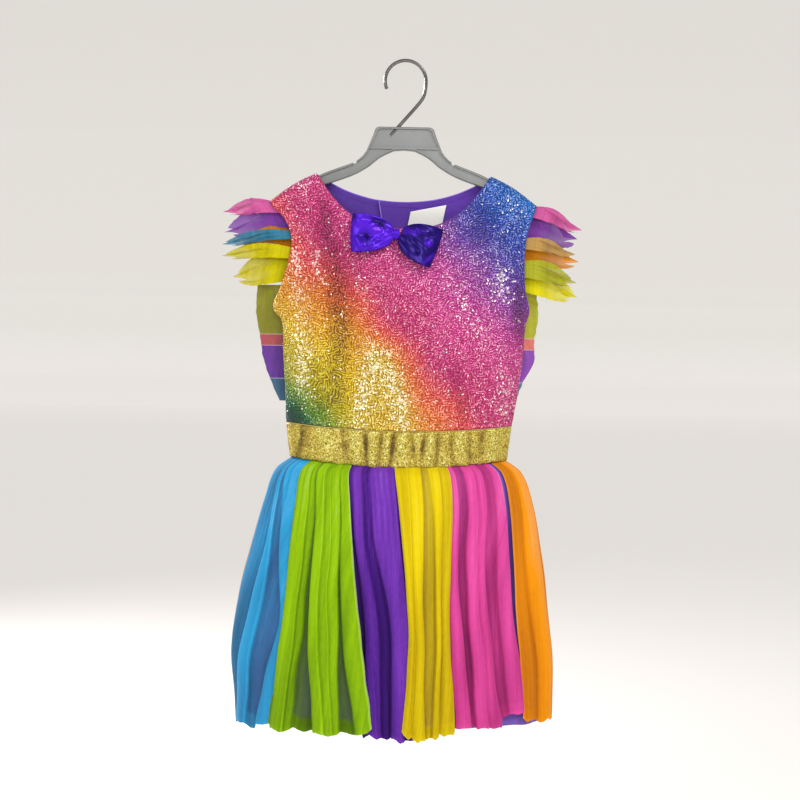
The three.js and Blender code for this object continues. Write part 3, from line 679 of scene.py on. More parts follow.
# Each half of the back: from where to where it reaches across, and its surface.
BACKS = {"left": (-1, LAP_EDGE, upper_back), "right": (LAP_UNDER, 1, back_surface)}
for word, (low, high, surface) in BACKS.items():
    grid = grid_of(surface, fine(GRIDS[word][0], low, high, 0.4), rows_up)
    shade = np.clip(0.5 + 0.13 * back_folds(grid[:, :, 0], grid[:, :, 2]), 0, 1)
    stand_in(f"bodice_back_{word}", "cloth", "purple_knit", grid, knit, -KNIT, shade=shade)


# ---- Sequins --------------------------------------------------------------------------------


def meander(columns, rows, cell):
    """A line that wanders over a grid and never crosses itself: the way round a random tree."""
    start = (columns // 2, rows // 2)
    reached, branches, joined = {start}, [start], set()
    while branches:
        k = len(branches) - 1 if luck.random() < 0.7 else int(luck.integers(len(branches)))
        i, j = branches[k]
        near = [(i + 1, j), (i - 1, j), (i, j + 1), (i, j - 1)]
        free = [c for c in near if 0 <= c[0] < columns and 0 <= c[1] < rows and c not in reached]
        if not free:
            branches.pop(k)
            continue
        step = free[int(luck.integers(len(free)))]
        joined.add(frozenset(((i, j), step)))
        reached.add(step)
        branches.append(step)
    # Round the tree with it on the left hand: turn left where a branch opens, or else go on.
    place, heading, line = (0, 0), (1, 0), []
    for _ in range(4 * columns * rows):
        line.append(place)
        dx, dy = heading
        for turn in ((-dy, dx), (dx, dy), (dy, -dx)):
            ahead = (place[0] + turn[0], place[1] + turn[1])
            cells = [(p[0] // 2, p[1] // 2) for p in (place, ahead)]
            inside = 0 <= ahead[0] < 2 * columns and 0 <= ahead[1] < 2 * rows
            if not inside:
                continue
            if cells[0] == cells[1]:
                # Within a cell, the step is barred where a branch crosses it.
                middle = ((place[0] + ahead[0]) / 2, (place[1] + ahead[1]) / 2)
                centre = (cells[0][0] * 2 + 0.5, cells[0][1] * 2 + 0.5)
                out = (round(2 * (middle[0] - centre[0])), round(2 * (middle[1] - centre[1])))
                beyond = (cells[0][0] + out[0], cells[0][1] + out[1])
                barred = frozenset((cells[0], beyond)) in joined
            else:
                barred = frozenset(cells) not in joined
            if not barred:
                place, heading = ahead, turn
                break
    line = np.array(line, float)
    for _ in range(3):
        corners = [lerp(line[:-1], line[1:], t) for t in (0.25, 0.75)]
        line = np.stack(corners, 1).reshape(-1, 2)
    return (line - [columns - 0.5, rows - 0.5]) * cell


# The front as it is measured for the rows of discs: its half width, its foot and top, the height
# of a level, the steepest slope that counts, and the short step that a slope is taken over.
FRONT_REACH, FRONT_FOOT, FRONT_TOP, LEVEL, STEEPEST, SLOPE_STEP = 156, -426, -126, 3.0, 4, 0.4
# A disc's corners, how far it stands off the cloth, how unevenly it lies and how far it is dished;
# the height of the rows' middle, and the number of wandering rows across and down.
CORNERS, SEQUIN_STAND, SEQUIN_TILT, SEQUIN_DISH = 7, 0.35, 0.2, 0.25
SEQUIN_MIDDLE, SEQUIN_TREE = -277, (62, 58)
# How far the discs' middles keep from the waist's seam, from the neck and shoulders, and from the
# side seams.
GAP_LOW, GAP_HIGH, GAP_SIDE = 1.5, 1.0, 0.8


def depth_slope(x, z, dx=0.0, dz=0.0):
    """How steeply the front's depth rises over a short step in x or z."""
    rise = front_depth(x + dx, z + dz) - front_depth(x - dx, z - dz)
    return rise / (2 * (dx + dz))


def flat_to_x(across, z):
    """The x of a point that lies so far across the cloth from its middle, at a height z."""
    places = np.linspace(-FRONT_REACH, FRONT_REACH, 625)
    x = np.zeros_like(across)
    for level in np.arange(FRONT_FOOT, FRONT_TOP, LEVEL):
        chosen = (z >= level) & (z < level + LEVEL)
        run = np.sqrt(1 + depth_slope(places, np.full_like(places, level), dx=SLOPE_STEP) ** 2)
        run = np.cumsum(np.minimum(run, STEEPEST)) * (places[1] - places[0])
        x[chosen] = np.interp(across[chosen], run - run[len(places) // 2], places)
    return x


def sequins(name, cell, spacing, radius, material):
    """Discs along the wandering rows, on the front's cloth, each with a tone: a random one of its
    own, with painted shade and painted glints.
    """
    line = meander(*SEQUIN_TREE, cell)
    for pitch, sway in ((1.5, 0.3), (3.1, 0.5)):
        a, b = line[:, 0] / (pitch * cell), line[:, 1] / (pitch * cell)
        bend = [np.sin(2.1 * b + 1.7 * np.sin(a)), np.sin(1.9 * a + 1.5 * np.sin(b))]
        line = line + sway * cell * np.stack(bend, 1)
    run = run_of(line)
    stops = np.arange(0, run[-1], spacing)
    across, z = (np.interp(stops, run, line[:, k]) for k in (0, 1))
    z = z + SEQUIN_MIDDLE
    x = flat_to_x(across, z)
    low = WAIST_SEAM - WAIST_SAG * (1 - (x / half_width(x, WAIST_SEAM)) ** 2) + GAP_LOW
    neck, shoulder = neckline(x, FRONT_NECK), shoulder_line(np.abs(x))
    high = np.where(np.abs(x) < NECK_POINT[0], neck, shoulder) - GAP_HIGH
    kept = (z > low) & (z < high) & (np.abs(x) < half_width(x, z) - GAP_SIDE)
    x, z = x[kept], z[kept]
    slopes = depth_slope(x, z, dx=SLOPE_STEP), depth_slope(x, z, dz=SLOPE_STEP)
    out = unit(np.stack([-slopes[0], -np.ones_like(x), -slopes[1]], 1))
    centre = np.stack([x, -front_depth(x, z), z], 1) + out * (KNIT / 2 + SEQUIN_STAND)
    out = unit(out + luck.normal(0, SEQUIN_TILT, out.shape))
    side = unit(np.cross(out, [0.0, 0.0, 1.0]))
    up = np.cross(side, out)
    patches = (PAINTED_GLINT_PATCHES, PAINTED_SHADE_PATCHES, GOLD_PATCHES)
    painted_glint, painted_shade, golden = (patch_share(x, z, rows) for rows in patches)
    # Painted light: discs are darker in the shade patches and a little paler in the glint patches;
    # a few at random, and many in the glint patches, flash near white and larger as painted glints.
    tone = 0.41 + 0.1 * luck.normal(size=len(x)) - 0.36 * painted_shade + 0.08 * painted_glint
    flash = luck.random(len(x)) < 0.016 + 0.36 * painted_glint * (1 - painted_shade)
    tone = np.clip(np.where(flash, luck.uniform(0.75, 1, len(x)), tone), 0, 1)
    turns = (np.arange(CORNERS) / CORNERS * 2 * np.pi)[None, :, None]
    wide = (radius * (1 + flash * (0.1 + 0.55 * painted_glint)))[:, None, None]
    rim = centre[:, None] + wide * (np.cos(turns) * side[:, None] + np.sin(turns) * up[:, None])
    rim += out[:, None] * SEQUIN_DISH
    points = np.concatenate([rim, centre[:, None]], 1).reshape(-1, 3)
    first = np.arange(len(x)) * (CORNERS + 1)
    faces = [first[:, None] + [k, (k + 1) % CORNERS, CORNERS] for k in range(CORNERS)]
    faces = np.stack(faces, 1).reshape(-1, 3)
    values = {"tone": np.repeat(tone, CORNERS + 1), "gold": np.repeat(golden, CORNERS + 1)}
    made(name, points, faces.tolist(), [material], values, smooth=False)


sequins("bodice_sequins", 2.6, 1.75, 0.95, sequin_foil())

# ---- Waistband ------------------------------------------------------------------------------

# Gathers where the elastic draws in: x at the top and the foot, half width and height.
GATHERS = {
    "front": [
        (-109, -113.5, 4, -1.2), (-86, -84, 9, 0.8), (-64, -57, 5, -1.2), (-50, -47, 5, 1),
        (-38.8, -35, 4, -1.8), (-30, -29, 4, 1.1), (-20.4, -22, 3.5, -1.4), (-12, -15, 3.5, 1.2),
        (-4.3, -10.5, 4, -2), (4, 3, 4, 1.3), (13, 19.5, 4, -1.3), (21, 24, 3, 0.8),
        (29, 26, 3.5, -1.7), (37, 35, 4, 1.1), (46.3, 42.9, 4, -1.3), (59.5, 62.9, 4, -1.2),
        (70, 72, 6, 0.9), (79.7, 83, 4, -1.4), (94.6, 92.9, 5, -1.1), (106, 106, 7, 0.8),
    ],
    "back": [
        (-108, -104, 5, -1.4), (-84, -86, 6, 1.2), (-62, -60, 4.5, -1.5), (-40, -43, 6, 1.2),
        (-18, -15, 4.5, -1.6), (2, 0, 6, 1.2), (24, 28, 4.5, -1.5), (47, 45, 6, 1.2),
        (70, 66, 4.5, -1.5), (92, 94, 6, 1.2), (112, 110, 5, -1.1),
    ],
}


# The band's wall, and how deep its gathers are.
BAND, PINCH = 1.4, 1.35


def band_surface(facing, gathers):
    def surface(u, v):
        bow = 1 - u**2
        z = lerp(WAIST_FOOT - FOOT_SAG * bow, WAIST_SEAM - WAIST_SAG * bow - 0.6, v)
        x = u * half_width(u, z)
        pinch = 0
        for top, foot, width, height in gathers:
            off = (x - lerp(foot, top, v) - 0.8 * np.sin(3 * v + top)) / width
            pinch = pinch + height * np.exp(-(off**2)) * (0.55 + 0.45 * np.sin(np.pi * v))
        fine_gather = 0.25 * np.sin(x / 1.7 + 2 * np.sin(x / 9) + v)
        out = cloth_depth(x, z) + (PINCH * pinch + fine_gather) * smoothstep(bow, 0, 0.1)
        uneven = 0.5 * np.sin(x / 4.3 + 2 * np.sin(x / 13)) * (1 - v)
        # Painted light and shade: lighter on the gathers' ridges, darker in their troughs and
        # towards the left.
        tone = 0.72 + 0.42 * pinch + 0.1 * fine_gather - 0.24 * smoothstep(-x, 50, 100)
        return x, facing * (out + AT_SEAM), z + uneven, np.clip(tone, 0, 1)

    return surface


BANDS = {name: band_surface(facing, GATHERS[name]) for name, facing in FACINGS.items()}
columns, rows = GRIDS["band"]
steps = np.sin(np.linspace(-np.pi / 2, np.pi / 2, columns))
for name, facing in FACINGS.items():
    grid = grid_of(BANDS[name], steps, fine(rows, 0, 1))
    points, tone = grid[:, :, :3], grid[:, :, 3]
    thick = -facing * BAND
    stand_in(f"waistband_{name}", "cloth", "gold_glitter", points, gold, thick, layers=tone)

# ---- Skirt ----------------------------------------------------------------------------------

SKIRT = table(
    "z half depth shift",
    [
        (-762, 172, 73, -2), (-728, 173, 72, -3), (-676, 175, 69, -6), (-618, 168, 65, -6),
        (-560, 159, 59, -3), (-503, 149, 52, 0), (-470, 139, 43, 0), (-455, 121, 29.5, 0),
    ],
)
skirt_half, skirt_depth, skirt_shift = (
    column(SKIRT, "z", key) for key in ("half", "depth", "shift")
)
# The skirt's top at the sides and how far it sags in the middle; the lining's hem; how far the
# skirt is drawn in where it is sewn under the waistband, and how far up it goes there.
SKIRT_SIDE, SKIRT_SAG = -456.2, 10
LINING_HEM = -751
SKIRT_TUCK, SEWN_UNDER = 5.5, 2.5


def skirt_top(angle):
    return SKIRT_SIDE - SKIRT_SAG * np.cos(angle) ** 2 + SEWN_UNDER


def tuck(angle, v):
    """How far the skirt is drawn in at its top, where it is sewn under the waistband."""
    return SKIRT_TUCK * np.cos(angle) ** 2 * (1 - smoothstep(v, 0.004, 0.04))


def skirt_point(angle, z, lift):
    """A point at an angle round the skirt and a height, lifted square to the lining's oval."""
    half, depth = skirt_half(z), skirt_depth(z)
    out_x, out_y = np.sin(angle) / half, -np.cos(angle) / depth
    size = np.hypot(out_x, out_y)
    x = skirt_shift(z) + half * np.sin(angle) + lift * out_x / size
    return x, -depth * np.cos(angle) + lift * out_y / size, z


def lining_surface(u, v):
    angle = u * 2 * np.pi
    z = lerp(skirt_top(angle), LINING_HEM + 1.2 * ripple(u * 20, 3), v)
    wave = 2 * np.cos(12 * angle) * smoothstep(v, 0.1, 0.8)
    wave = wave + 0.8 * ripple(u * 26, 4) * smoothstep(v, 0.1, 0.5)
    return skirt_point(angle, z, wave - 0.4 - tuck(angle, v))


columns, rows = GRIDS["lining"]
grid = grid_of(lining_surface, np.arange(columns) / columns, fine(rows, 0, 1))
stand_in("skirt_lining", "cloth", "lining_satin", grid, lining_satin, 0.5, ring=True)

# Each panel: where it begins round the skirt at the waist, the middle and the hem, in degrees,
# and the height of its hem. Every second one lies over its neighbours.
PANELS = [
    ("front_blue", -100, -101, -101, -757), ("front_green", -56, -43, -51, -755),
    ("front_purple", -25, -12, -8, -760), ("front_yellow", -0.5, 8, 5, -757),
    ("front_pink", 23.5, 21, 22, -746), ("front_orange", 59, 55, 57, -746),
    ("back_blue", 98, 99, 100, -750), ("back_green", 126, 127, 128, -753),
    ("back_purple", 153, 154, 155, -757), ("back_yellow", 178, 178, 179, -754),
    ("back_pink", 204, 204, 204, -750), ("back_orange", 231, 231, 231, -752),
]
# How far the panels stand off the lining, and those that lie over their neighbours further still,
# at the waist and at the hem; how far they lie in at the skirt's sides, and how much lower their
# folds are there; how far a panel laps, in degrees, under its neighbour and over it; how high its
# folds stand, how uneven its hem is, and how far its corners curl up.
LIFT_TOP, LIFT_HEM, STEP_TOP, STEP_HEM = 0.3, 6.8, 1.7, 4.2
SIDE_IN, SIDE_LOWER = 1.6, 1.2
LAPS = (4.0, 1.3)
FOLD_HEIGHT, HEM_WAVE, HEM_FRAY, HEM_CORNER = 2.1, 3.4, 0.4, 5

# The strips of each panel between its fold edges: where a strip ends at the waist, the middle and
# the hem, as a share of the panel; its height and how much it bulges; its layers, 1 where the sheer
# is folded double and less where it is single; and how far its hem drops.
STRIPS = {
    "front_blue": [
        (0.62, 0.63, 0.35, 0, 2, 0.75, 3), (0.66, 0.76, 0.6, 3, 1, 1, 0),
        (0.7, 0.93, 0.8, 0.6, 0.8, 0.3, 2), (1, 1, 1, 3.2, 1.2, 0.95, -3),
    ],
    "front_green": [
        (0.03, 0.03, 0.05, 0.6, 0.8, 0.7, -2), (0.26, 0.24, 0.19, 2.8, 1.4, 1, 2),
        (0.38, 0.35, 0.27, 1.4, 1.6, 1, 2), (0.41, 0.42, 0.5, 0, 0.4, 0.36, 0),
        (0.56, 0.54, 0.6, 3, 1, 1, 3), (0.68, 0.66, 0.68, 2, 1.4, 1, 3),
        (0.84, 0.77, 0.72, 2.6, 1.2, 0.95, 3), (0.85, 0.81, 0.86, 0, 0.6, 0.34, 1),
        (1, 1, 1, 2.2, 1.6, 0.95, 0),
    ],
    "front_purple": [
        (0.2, 0.22, 0.1, -0.6, 0.8, 0.9, -6), (0.36, 0.4, 0.44, 1.4, 1.6, 1, -1),
        (0.48, 0.54, 0.6, -0.2, 0.8, 0.9, 1), (0.82, 0.82, 0.82, 2.6, 1.6, 1, 3),
        (1, 1, 1, 0.4, 0.8, 0.95, 3),
    ],
    "front_yellow": [
        (0.22, 0.16, 0.2, 1.6, 1.4, 0.9, 1), (0.46, 0.36, 0.44, 2.6, 1.6, 1, 5),
        (0.6, 0.64, 0.56, 0.4, 0.8, 0.6, 4), (0.78, 0.76, 0.7, 2.6, 0.8, 1, 1),
        (1, 1, 1, 1.2, 1.8, 0.75, -2),
    ],
    "front_pink": [
        (0.13, 0.13, 0.15, 0.6, 0.6, 0.95, 2), (0.22, 0.27, 0.35, 2.2, 2.2, 0.95, 2),
        (0.36, 0.34, 0.4, 0, 0.8, 0.45, 2), (0.52, 0.48, 0.55, 2.8, 1.6, 0.95, 6),
        (0.66, 0.6, 0.7, 1.8, 1.6, 0.95, 4), (0.84, 0.74, 0.78, 0.4, 1.2, 0.65, -10),
        (1, 1, 1, 2.4, 2.2, 0.8, -12),
    ],
    "front_orange": [
        (0.24, 0.2, 0.22, 0.4, 1.4, 0.8, -1), (0.64, 0.62, 0.6, 2.6, 3.4, 1, 1),
        (1, 1, 1, 0.8, 2.4, 0.85, 0),
    ],
    "back_blue": [
        (0.3, 0.26, 0.3, 1, 1.8, 0.9, 0), (0.52, 0.58, 0.6, 0.2, 1.2, 0.5, 2),
        (1, 1, 1, 2.8, 2.4, 1, 1),
    ],
    "back_green": [
        (0.34, 0.28, 0.26, 2.6, 2, 1, 3), (0.44, 0.52, 0.56, 0.2, 0.8, 0.55, 1),
        (0.78, 0.76, 0.8, 2.8, 2, 1, 0), (1, 1, 1, 1, 1.6, 0.7, 2),
    ],
    "back_purple": [
        (0.3, 0.34, 0.3, 2.4, 1.8, 1, -1), (0.5, 0.48, 0.52, 0.4, 1.2, 0.7, 2),
        (0.8, 0.78, 0.76, 2.8, 2, 1, 3), (1, 1, 1, 0.8, 1.4, 0.8, 1),
    ],
    "back_yellow": [
        (0.26, 0.24, 0.3, 0.8, 1.6, 0.7, 0), (0.58, 0.52, 0.5, 2.8, 1.8, 1, 3),
        (0.7, 0.72, 0.74, 0.4, 0.8, 0.55, 2), (1, 1, 1, 2.2, 1.8, 0.9, -1),
    ],
    "back_pink": [
        (0.32, 0.3, 0.36, 2.4, 2.6, 0.95, 2), (0.46, 0.4, 0.46, 0.2, 1, 0.5, 0),
        (0.76, 0.74, 0.72, 2.8, 2.4, 0.95, 3), (1, 1, 1, 0.8, 1.8, 0.6, -3),
    ],
    "back_orange": [
        (0.34, 0.3, 0.34, 2.4, 2.4, 1, 2), (0.56, 0.6, 0.62, 0.6, 1.4, 0.6, 0),
        (1, 1, 1, 2.6, 2.6, 0.95, -1),
    ],
}
# How far a panel's free edge stops short of its neighbour, in degrees, from the waist to the hem.
EDGE_TRIM = {
    "front_pink": (0, 0, 0, 8.2, 6.7, 3.7),
    "front_blue": (0, 0, 0, -2.5, 1.0, 1.5),
    "front_green": (5.0, 1.2, 1.5, 0, 0, 0),
}


def along_hem(v, waist, middle, hem):
    return column(table("v a", [(0, waist), (0.6, middle), (1, hem)]), "v", "a")(v)


def panel_start(index, v):
    row = PANELS[index % len(PANELS)]
    return np.radians(along_hem(v, *row[1:4]) + 360 * (index // len(PANELS)))


def panel_surface(index):
    name, *_, hem = PANELS[index]
    over, strips, seed = index % 2, STRIPS[name], seed_of(name)
    trim = EDGE_TRIM.get(name, (0,) * 6)

    def folds(s, v):
        """Height, layers, hem drop and glint of the strips, with a crisp edge between two. The
        glint is painted light: a painted highlight above 0, on a pale edge, and painted shade below
        it, in a deep hollow."""
        width = along_hem(v, 0.022, 0.013, 0.012)
        begins = np.zeros_like(s)
        height, layers, drop, hollow_shade = 0, 0, 0, 0
        glint = 2.2 * np.exp(-((s / 0.014) ** 2)) + 2.2 * np.exp(-(((1 - s) / 0.014) ** 2))
        below = smoothstep(v, 0, 0.3)
        drift = 0.05 * ripple(v * 1.2, seed + 77, 3) * below
        for waist, middle, foot, level, crown, dense, fall in strips:
            ends = along_hem(v, waist, middle, foot)
            if waist < 1:
                sway = 0.014 * ripple(v * 2.2, seed + int(100 * waist)) * below
                ends = ends + sway + drift * math.sin(math.pi * middle)
            inside = smoothstep(s, begins - width, begins + width)
            inside = inside * (1 - smoothstep(s, ends - width, ends + width))
            local = np.clip((s - begins) / np.maximum(ends - begins, 1e-3), 0, 1)
            height = height + inside * (level + crown * np.sin(np.pi * local) ** 0.8)
            layers = layers + inside * dense
            drop = drop + inside * fall
            glint = glint + np.exp(-(((s - ends + 0.006) / 0.008) ** 2)) * (level > 1.5)
            hollow_shade = hollow_shade + inside * (level < 0.3) * smoothstep(v, 0.25, 0.7)
            begins = ends
        return height, np.maximum(layers, smoothstep(v, 0.93, 0.965)), drop, glint - 0.6 * hollow_shade

    def surface(s, v):
        first, last = panel_start(index, v), panel_start(index + 1, v)
        lap = np.radians(LAPS[over])
        left = first - lap + np.radians(along_hem(v, *trim[:3]))
        right = last + lap - np.radians(along_hem(v, *trim[3:]))
        height, layers, drop, glint = folds(s, v)
        edge = 0.35 * ripple(v * 5, seed + 5) * smoothstep(v, 0.2, 1)
        angle = lerp(left, right, s) + np.radians(edge) * (2 * s - 1) ** 4
        end = HEM_WAVE * ripple(s * 4, seed + 9) + HEM_FRAY * ripple(s * 14, seed)
        end = hem - 0.8 * drop + end + HEM_CORNER * np.clip(np.abs(2 * s - 1) - 0.93, 0, 1) / 0.07
        z = lerp(skirt_top(angle), end, v)
        step = over * smoothstep(v, 0, 0.02)
        opened = smoothstep(v, 0, 0.5)
        lift = lerp(LIFT_TOP + step * STEP_TOP, LIFT_HEM + step * STEP_HEM, opened) - tuck(angle, v)
        side = np.abs(np.sin(angle)) ** 3 * smoothstep(v, 0.05, 0.4)
        gathers = (0.6 + 0.8 * ripple(s * 8, seed + 2, 4)) * (1 - smoothstep(v, 0.1, 0.5))
        gathers = gathers * smoothstep(v, 0, 0.03)
        soft = 0.9 * ripple(s * 3 + v * 0.6, seed + 3) * smoothstep(v, 0.2, 0.9)
        stand = lift - SIDE_IN * side + (FOLD_HEIGHT - SIDE_LOWER * side) * height * opened
        clouds = ripple(s * 2.2 + 0.4 * v, seed + 11) * 0.5 + ripple(v * 1.6 + s, seed + 12) * 0.5
        # Painted light and shade: lighter on the ridges, the gathers and the glints, darker in the
        # troughs and towards the hem, uneven in clouds, and a painted pale line along the hem.
        shade = 0.27 + 0.075 * height + 0.1 * gathers + 0.14 * clouds + 0.24 * glint
        shade = shade - 0.12 * smoothstep(v, 0.3, 1) + 0.1 * smoothstep(v, 0.985, 0.995)
        return (*skirt_point(angle, z, stand + gathers + soft), layers, np.clip(shade, 0, 1))

    return surface


for index, (name, *_) in enumerate(PANELS):
    place, sheer = name.split("_")
    columns, rows = GRIDS[f"{place}_panel"]
    grid = grid_of(panel_surface(index), fine(columns, 0, 1, 0.4), fine(rows, 0, 1))
    points, values = grid[:, :, :3], {"layers": grid[:, :, 3], "shade": grid[:, :, 4]}
    stand_in(f"skirt_{name}", "sheer", f"sheer_{sheer}", points, sheers[sheer], **values)

# ---- Sleeve petals --------------------------------------------------------------------------

# Each armhole's petals from the top down: the slot, the root's height, the tip's place and height,
# half the width at the root and at the tip, and the sheer. They are sewn in turn to the front's
# edge and to the back's.
PETALS = {
    "left": [
        ("pink", -170, 208, -177, 7, 4, "magenta"), ("purple", -185, 207, -198, 14, 6, "mauve"),
        ("blue", -202, 208, -213, 4.5, 4, "sky"), ("orange", -207, 190, -216, 12, 6, "tangerine"),
        ("lime", -223, 208, -227, 6.5, 4, "lemon"), ("yellow", -240, 196, -250, 15, 8, "lemon"),
    ],
    "right": [
        ("pink", -169, 207, -190, 6.5, 5, "magenta"), ("purple", -185, 203, -200, 17, 7, "mauve"),
        ("blue", -207, 200, -219, 6, 5, "beige"), ("orange", -218, 205, -226, 13, 6, "tangerine"),
        ("lime", -236, 202, -250, 9, 6, "lime"), ("yellow", -248, 204, -266, 13, 6, "lemon"),
    ],
}
# How far a root reaches in under the armhole's edge, and how far it lies inside the cloth's face;
# how light the petals are: those with a lower root on the left stand in the dress's own shade.
PETAL_INSET, PETAL_STAND, PETAL_LIT, PETAL_SHADED, SHADED_BELOW = 5, 2.4, 0.52, 0.38, -200


def petal_surface(seed, side, sewn, root, tip_x, tip, wide, end):
    def surface(u, v):
        half = wide * (0.92 + 0.9 * u) * (1 - u**2) ** 0.8 + 0.6 * end * u
        frayed = 1 + 0.05 * ripple(u * 9, seed + 1) * smoothstep(u, 0.1, 0.5)
        z = lerp(root, tip, u) + 5 * np.sin(np.pi * u) + v * half * frayed
        edge = half_width(side, z)
        wisp = 0.5 - 0.5 * np.cos(2 * np.pi * (0.85 * v + 0.1 * math.sin(seed)))
        reach = tip_x - 1.5 - 15 * wisp - 3 * v**2
        x = lerp(edge - PETAL_INSET, reach, u)
        seat = cloth_depth(side * np.minimum(x, edge - 0.5), z) - PETAL_STAND
        wave = 2.2 * smoothstep(u, 0.25, 0.7) * np.sin(2.4 * v + 5 * u)
        crumple = 0.9 * ripple(v * 1.6 + 0.8 * u, seed + 3) * smoothstep(u, 0.1, 0.4)
        return side * x, sewn * seat + wave + crumple, z + 0.8 * ripple(u * 2.5 + v, seed + 4) * u

    return surface


columns, rows = GRIDS["petal"]
out, across = np.linspace(0, 1, columns)[:, None], np.linspace(-1, 1, rows)[None, :]
fold = (1.25 - 0.55 * out) * (0.86 + 0.14 * across**2) + 0.12 * ripple(across * 2 + out, 71)
for word, side in SIDES.items():
    for index, (slot, root, *shape, sheer) in enumerate(PETALS[word]):
        name, sewn = f"{word}_{slot}", (-1, 1)[index % 2]
        surface = petal_surface(seed_of(name), side, sewn, root, *shape)
        grid = grid_of(surface, fine(columns, 0, 1), fine(rows))
        shade = PETAL_SHADED if side < 0 and root < SHADED_BELOW else PETAL_LIT
        values = {"layers": np.clip(fold, 0, 1), "shade": np.full((columns, rows), shade)}
        stand_in(f"petal_{name}", "sheer", f"sheer_{slot}", grid, sheers[sheer], **values)

# ---- Side drapes ----------------------------------------------------------------------------

DRAPE = table(
    "z inner left right",
    [
        (-392, 112, 139, 133), (-365, 106, 151, 143), (-342, 103, 159, 155), (-318, 100, 163, 155),
        (-290, 98, 168, 159), (-258, 98, 167, 156),
    ],
)
# How dense the drapes' sheer is, and how light each side's is: the left one stands in shade.
DRAPE_LAYERS, DRAPE_SHADE = 0.86, {"left": 0.3, "right": 0.6}
DRAPE_TOP, DRAPE_FOOT, DRAPE_STAND = -258, -392, 2.4
# Each sewn band's name, top and foot, and its sheer.
DRAPE_BANDS = [
    ("lime", DRAPE_TOP, -315, "lime"), ("coral", -315, -328, "coral"),
    ("purple", -328, -366, "mauve"), ("teal", -366, DRAPE_FOOT, "teal"),
]
drape_inner, drape_left, drape_right = (
    column(DRAPE, "z", key) for key in ("inner", "left", "right")
)


def drape_surface(side, top, foot):
    outer = drape_left if side < 0 else drape_right

    def surface(u, v):
        z = lerp(foot + 0.3, top, v)
        x = lerp(drape_inner(z), outer(z), u) + 0.7 * ripple(z / 14, 31 + side) * u
        held = np.minimum(x, 0.9 * half_width(side, z))
        soft = 2.5 * np.sin(7 * u + 0.02 * z) * u + 0.6 * ripple(u * 4 + z / 60, 40 + side) * u
        seat = cloth_depth(side * held, z) + np.maximum(back_folds(side * held, z), 0)
        return side * x, seat + DRAPE_STAND + soft, z

    return surface


columns, rows = GRIDS["drape"]
even = np.ones((columns, rows))
for word, side in SIDES.items():
    for name, top, foot, sheer in DRAPE_BANDS:
        grid = grid_of(drape_surface(side, top, foot), fine(columns, 0, 1), fine(rows, 0, 1))
        values = {"layers": DRAPE_LAYERS * even, "shade": DRAPE_SHADE[word] * even}
        stand_in(f"drape_{word}_{name}", "sheer", f"sheer_{name}", grid, sheers[sheer], **values)

# Two rows of stitches hold each drape to the back.
seams = []
for side in SIDES.values():
    for row in (0.03, 0.06):
        path = drape_surface(side, DRAPE_TOP, DRAPE_FOOT)(row, np.linspace(0.03, 0.97, 90))
        seams.append(np.stack(np.broadcast_arrays(*path), -1) + [0, 0.3, 0])
stitches("drape_stitches", seams, purple_thread)

# ---- Bow ------------------------------------------------------------------------------------

# The knot's middle, how far the bow stands off the front, and how much of a loop's turn is pinched
# in the knot; the knot's width and half depth and height; the satin's wall.
BOW_X, BOW_Z, BOW_STAND, BOW_PINCH = -7.7, -200.5, 1.9, 0.42
KNOT_WIDE, KNOT_DEEP, KNOT_TALL = 8, 5, 6
SATIN = 0.9
# Each loop's side, length, tilt, half heights at the knot and the end, half depth, how lit it is.
BOW_LOOPS = {
    "left": (-1, 50, 0.02, 5.5, 21.5, 7.2, 0.78),
    "right": (1, 47, -0.33, 6, 23, 6.5, 0.0),
}
# Folds of the loops, each with its top and foot, half width and height.
BOW_FOLDS = [
    (-55, -186, -38, -191, 3.5, 1.5), (-38, -190, -30, -200, 3, 1.5),
    (-48, -200, -34, -206, 3.5, -1.8), (-36, -205, -36, -216, 2.6, 1.4),
    (-54, -204, -46, -217, 3, 1.5), (-26, -190, -20, -199, 2.2, -1.8),
    (-26, -206, -19, -202, 2.2, 1.2), (16, -196, 30, -200, 3, 1.5), (28, -208, 32, -216, 3.5, 1.8),
    (6, -204, 18, -222, 3, -1.2), (40, -200, 44, -212, 3, 0.8), (30, -232, 41, -222, 2.4, 1.2),
]
# Painted light on the loops' satin: strokes painted lighter, or painted darker as shade where the
# last value is negative.
BOW_PAINTED_LIGHT = [
    (-56, -192, -38, -189, 5, 0.5), (-38, -189, -31, -201, 4.5, 0.45),
    (-31, -200, -15, -208, 5, 0.5), (-60, -200, -50, -215, 2.4, 0.5),
    (-52, -200, -44, -214, 2.2, -0.5), (-36, -185, -18, -190, 4, -0.9),
    (-62, -184, -52, -180, 4, -0.6), (-42, -200, -38, -214, 3, -0.7), (0, -197, 20, -199, 4, 0.55),
    (26, -206, 31, -214, 4, 0.7), (22, -236, 36, -222, 2, 0.6),
]


def bow_back(x, z):
    held = np.minimum(z, BOW_Z - 2)
    return -cloth_depth(x, held) - np.maximum(front_fold(x, held), 0) - BOW_STAND


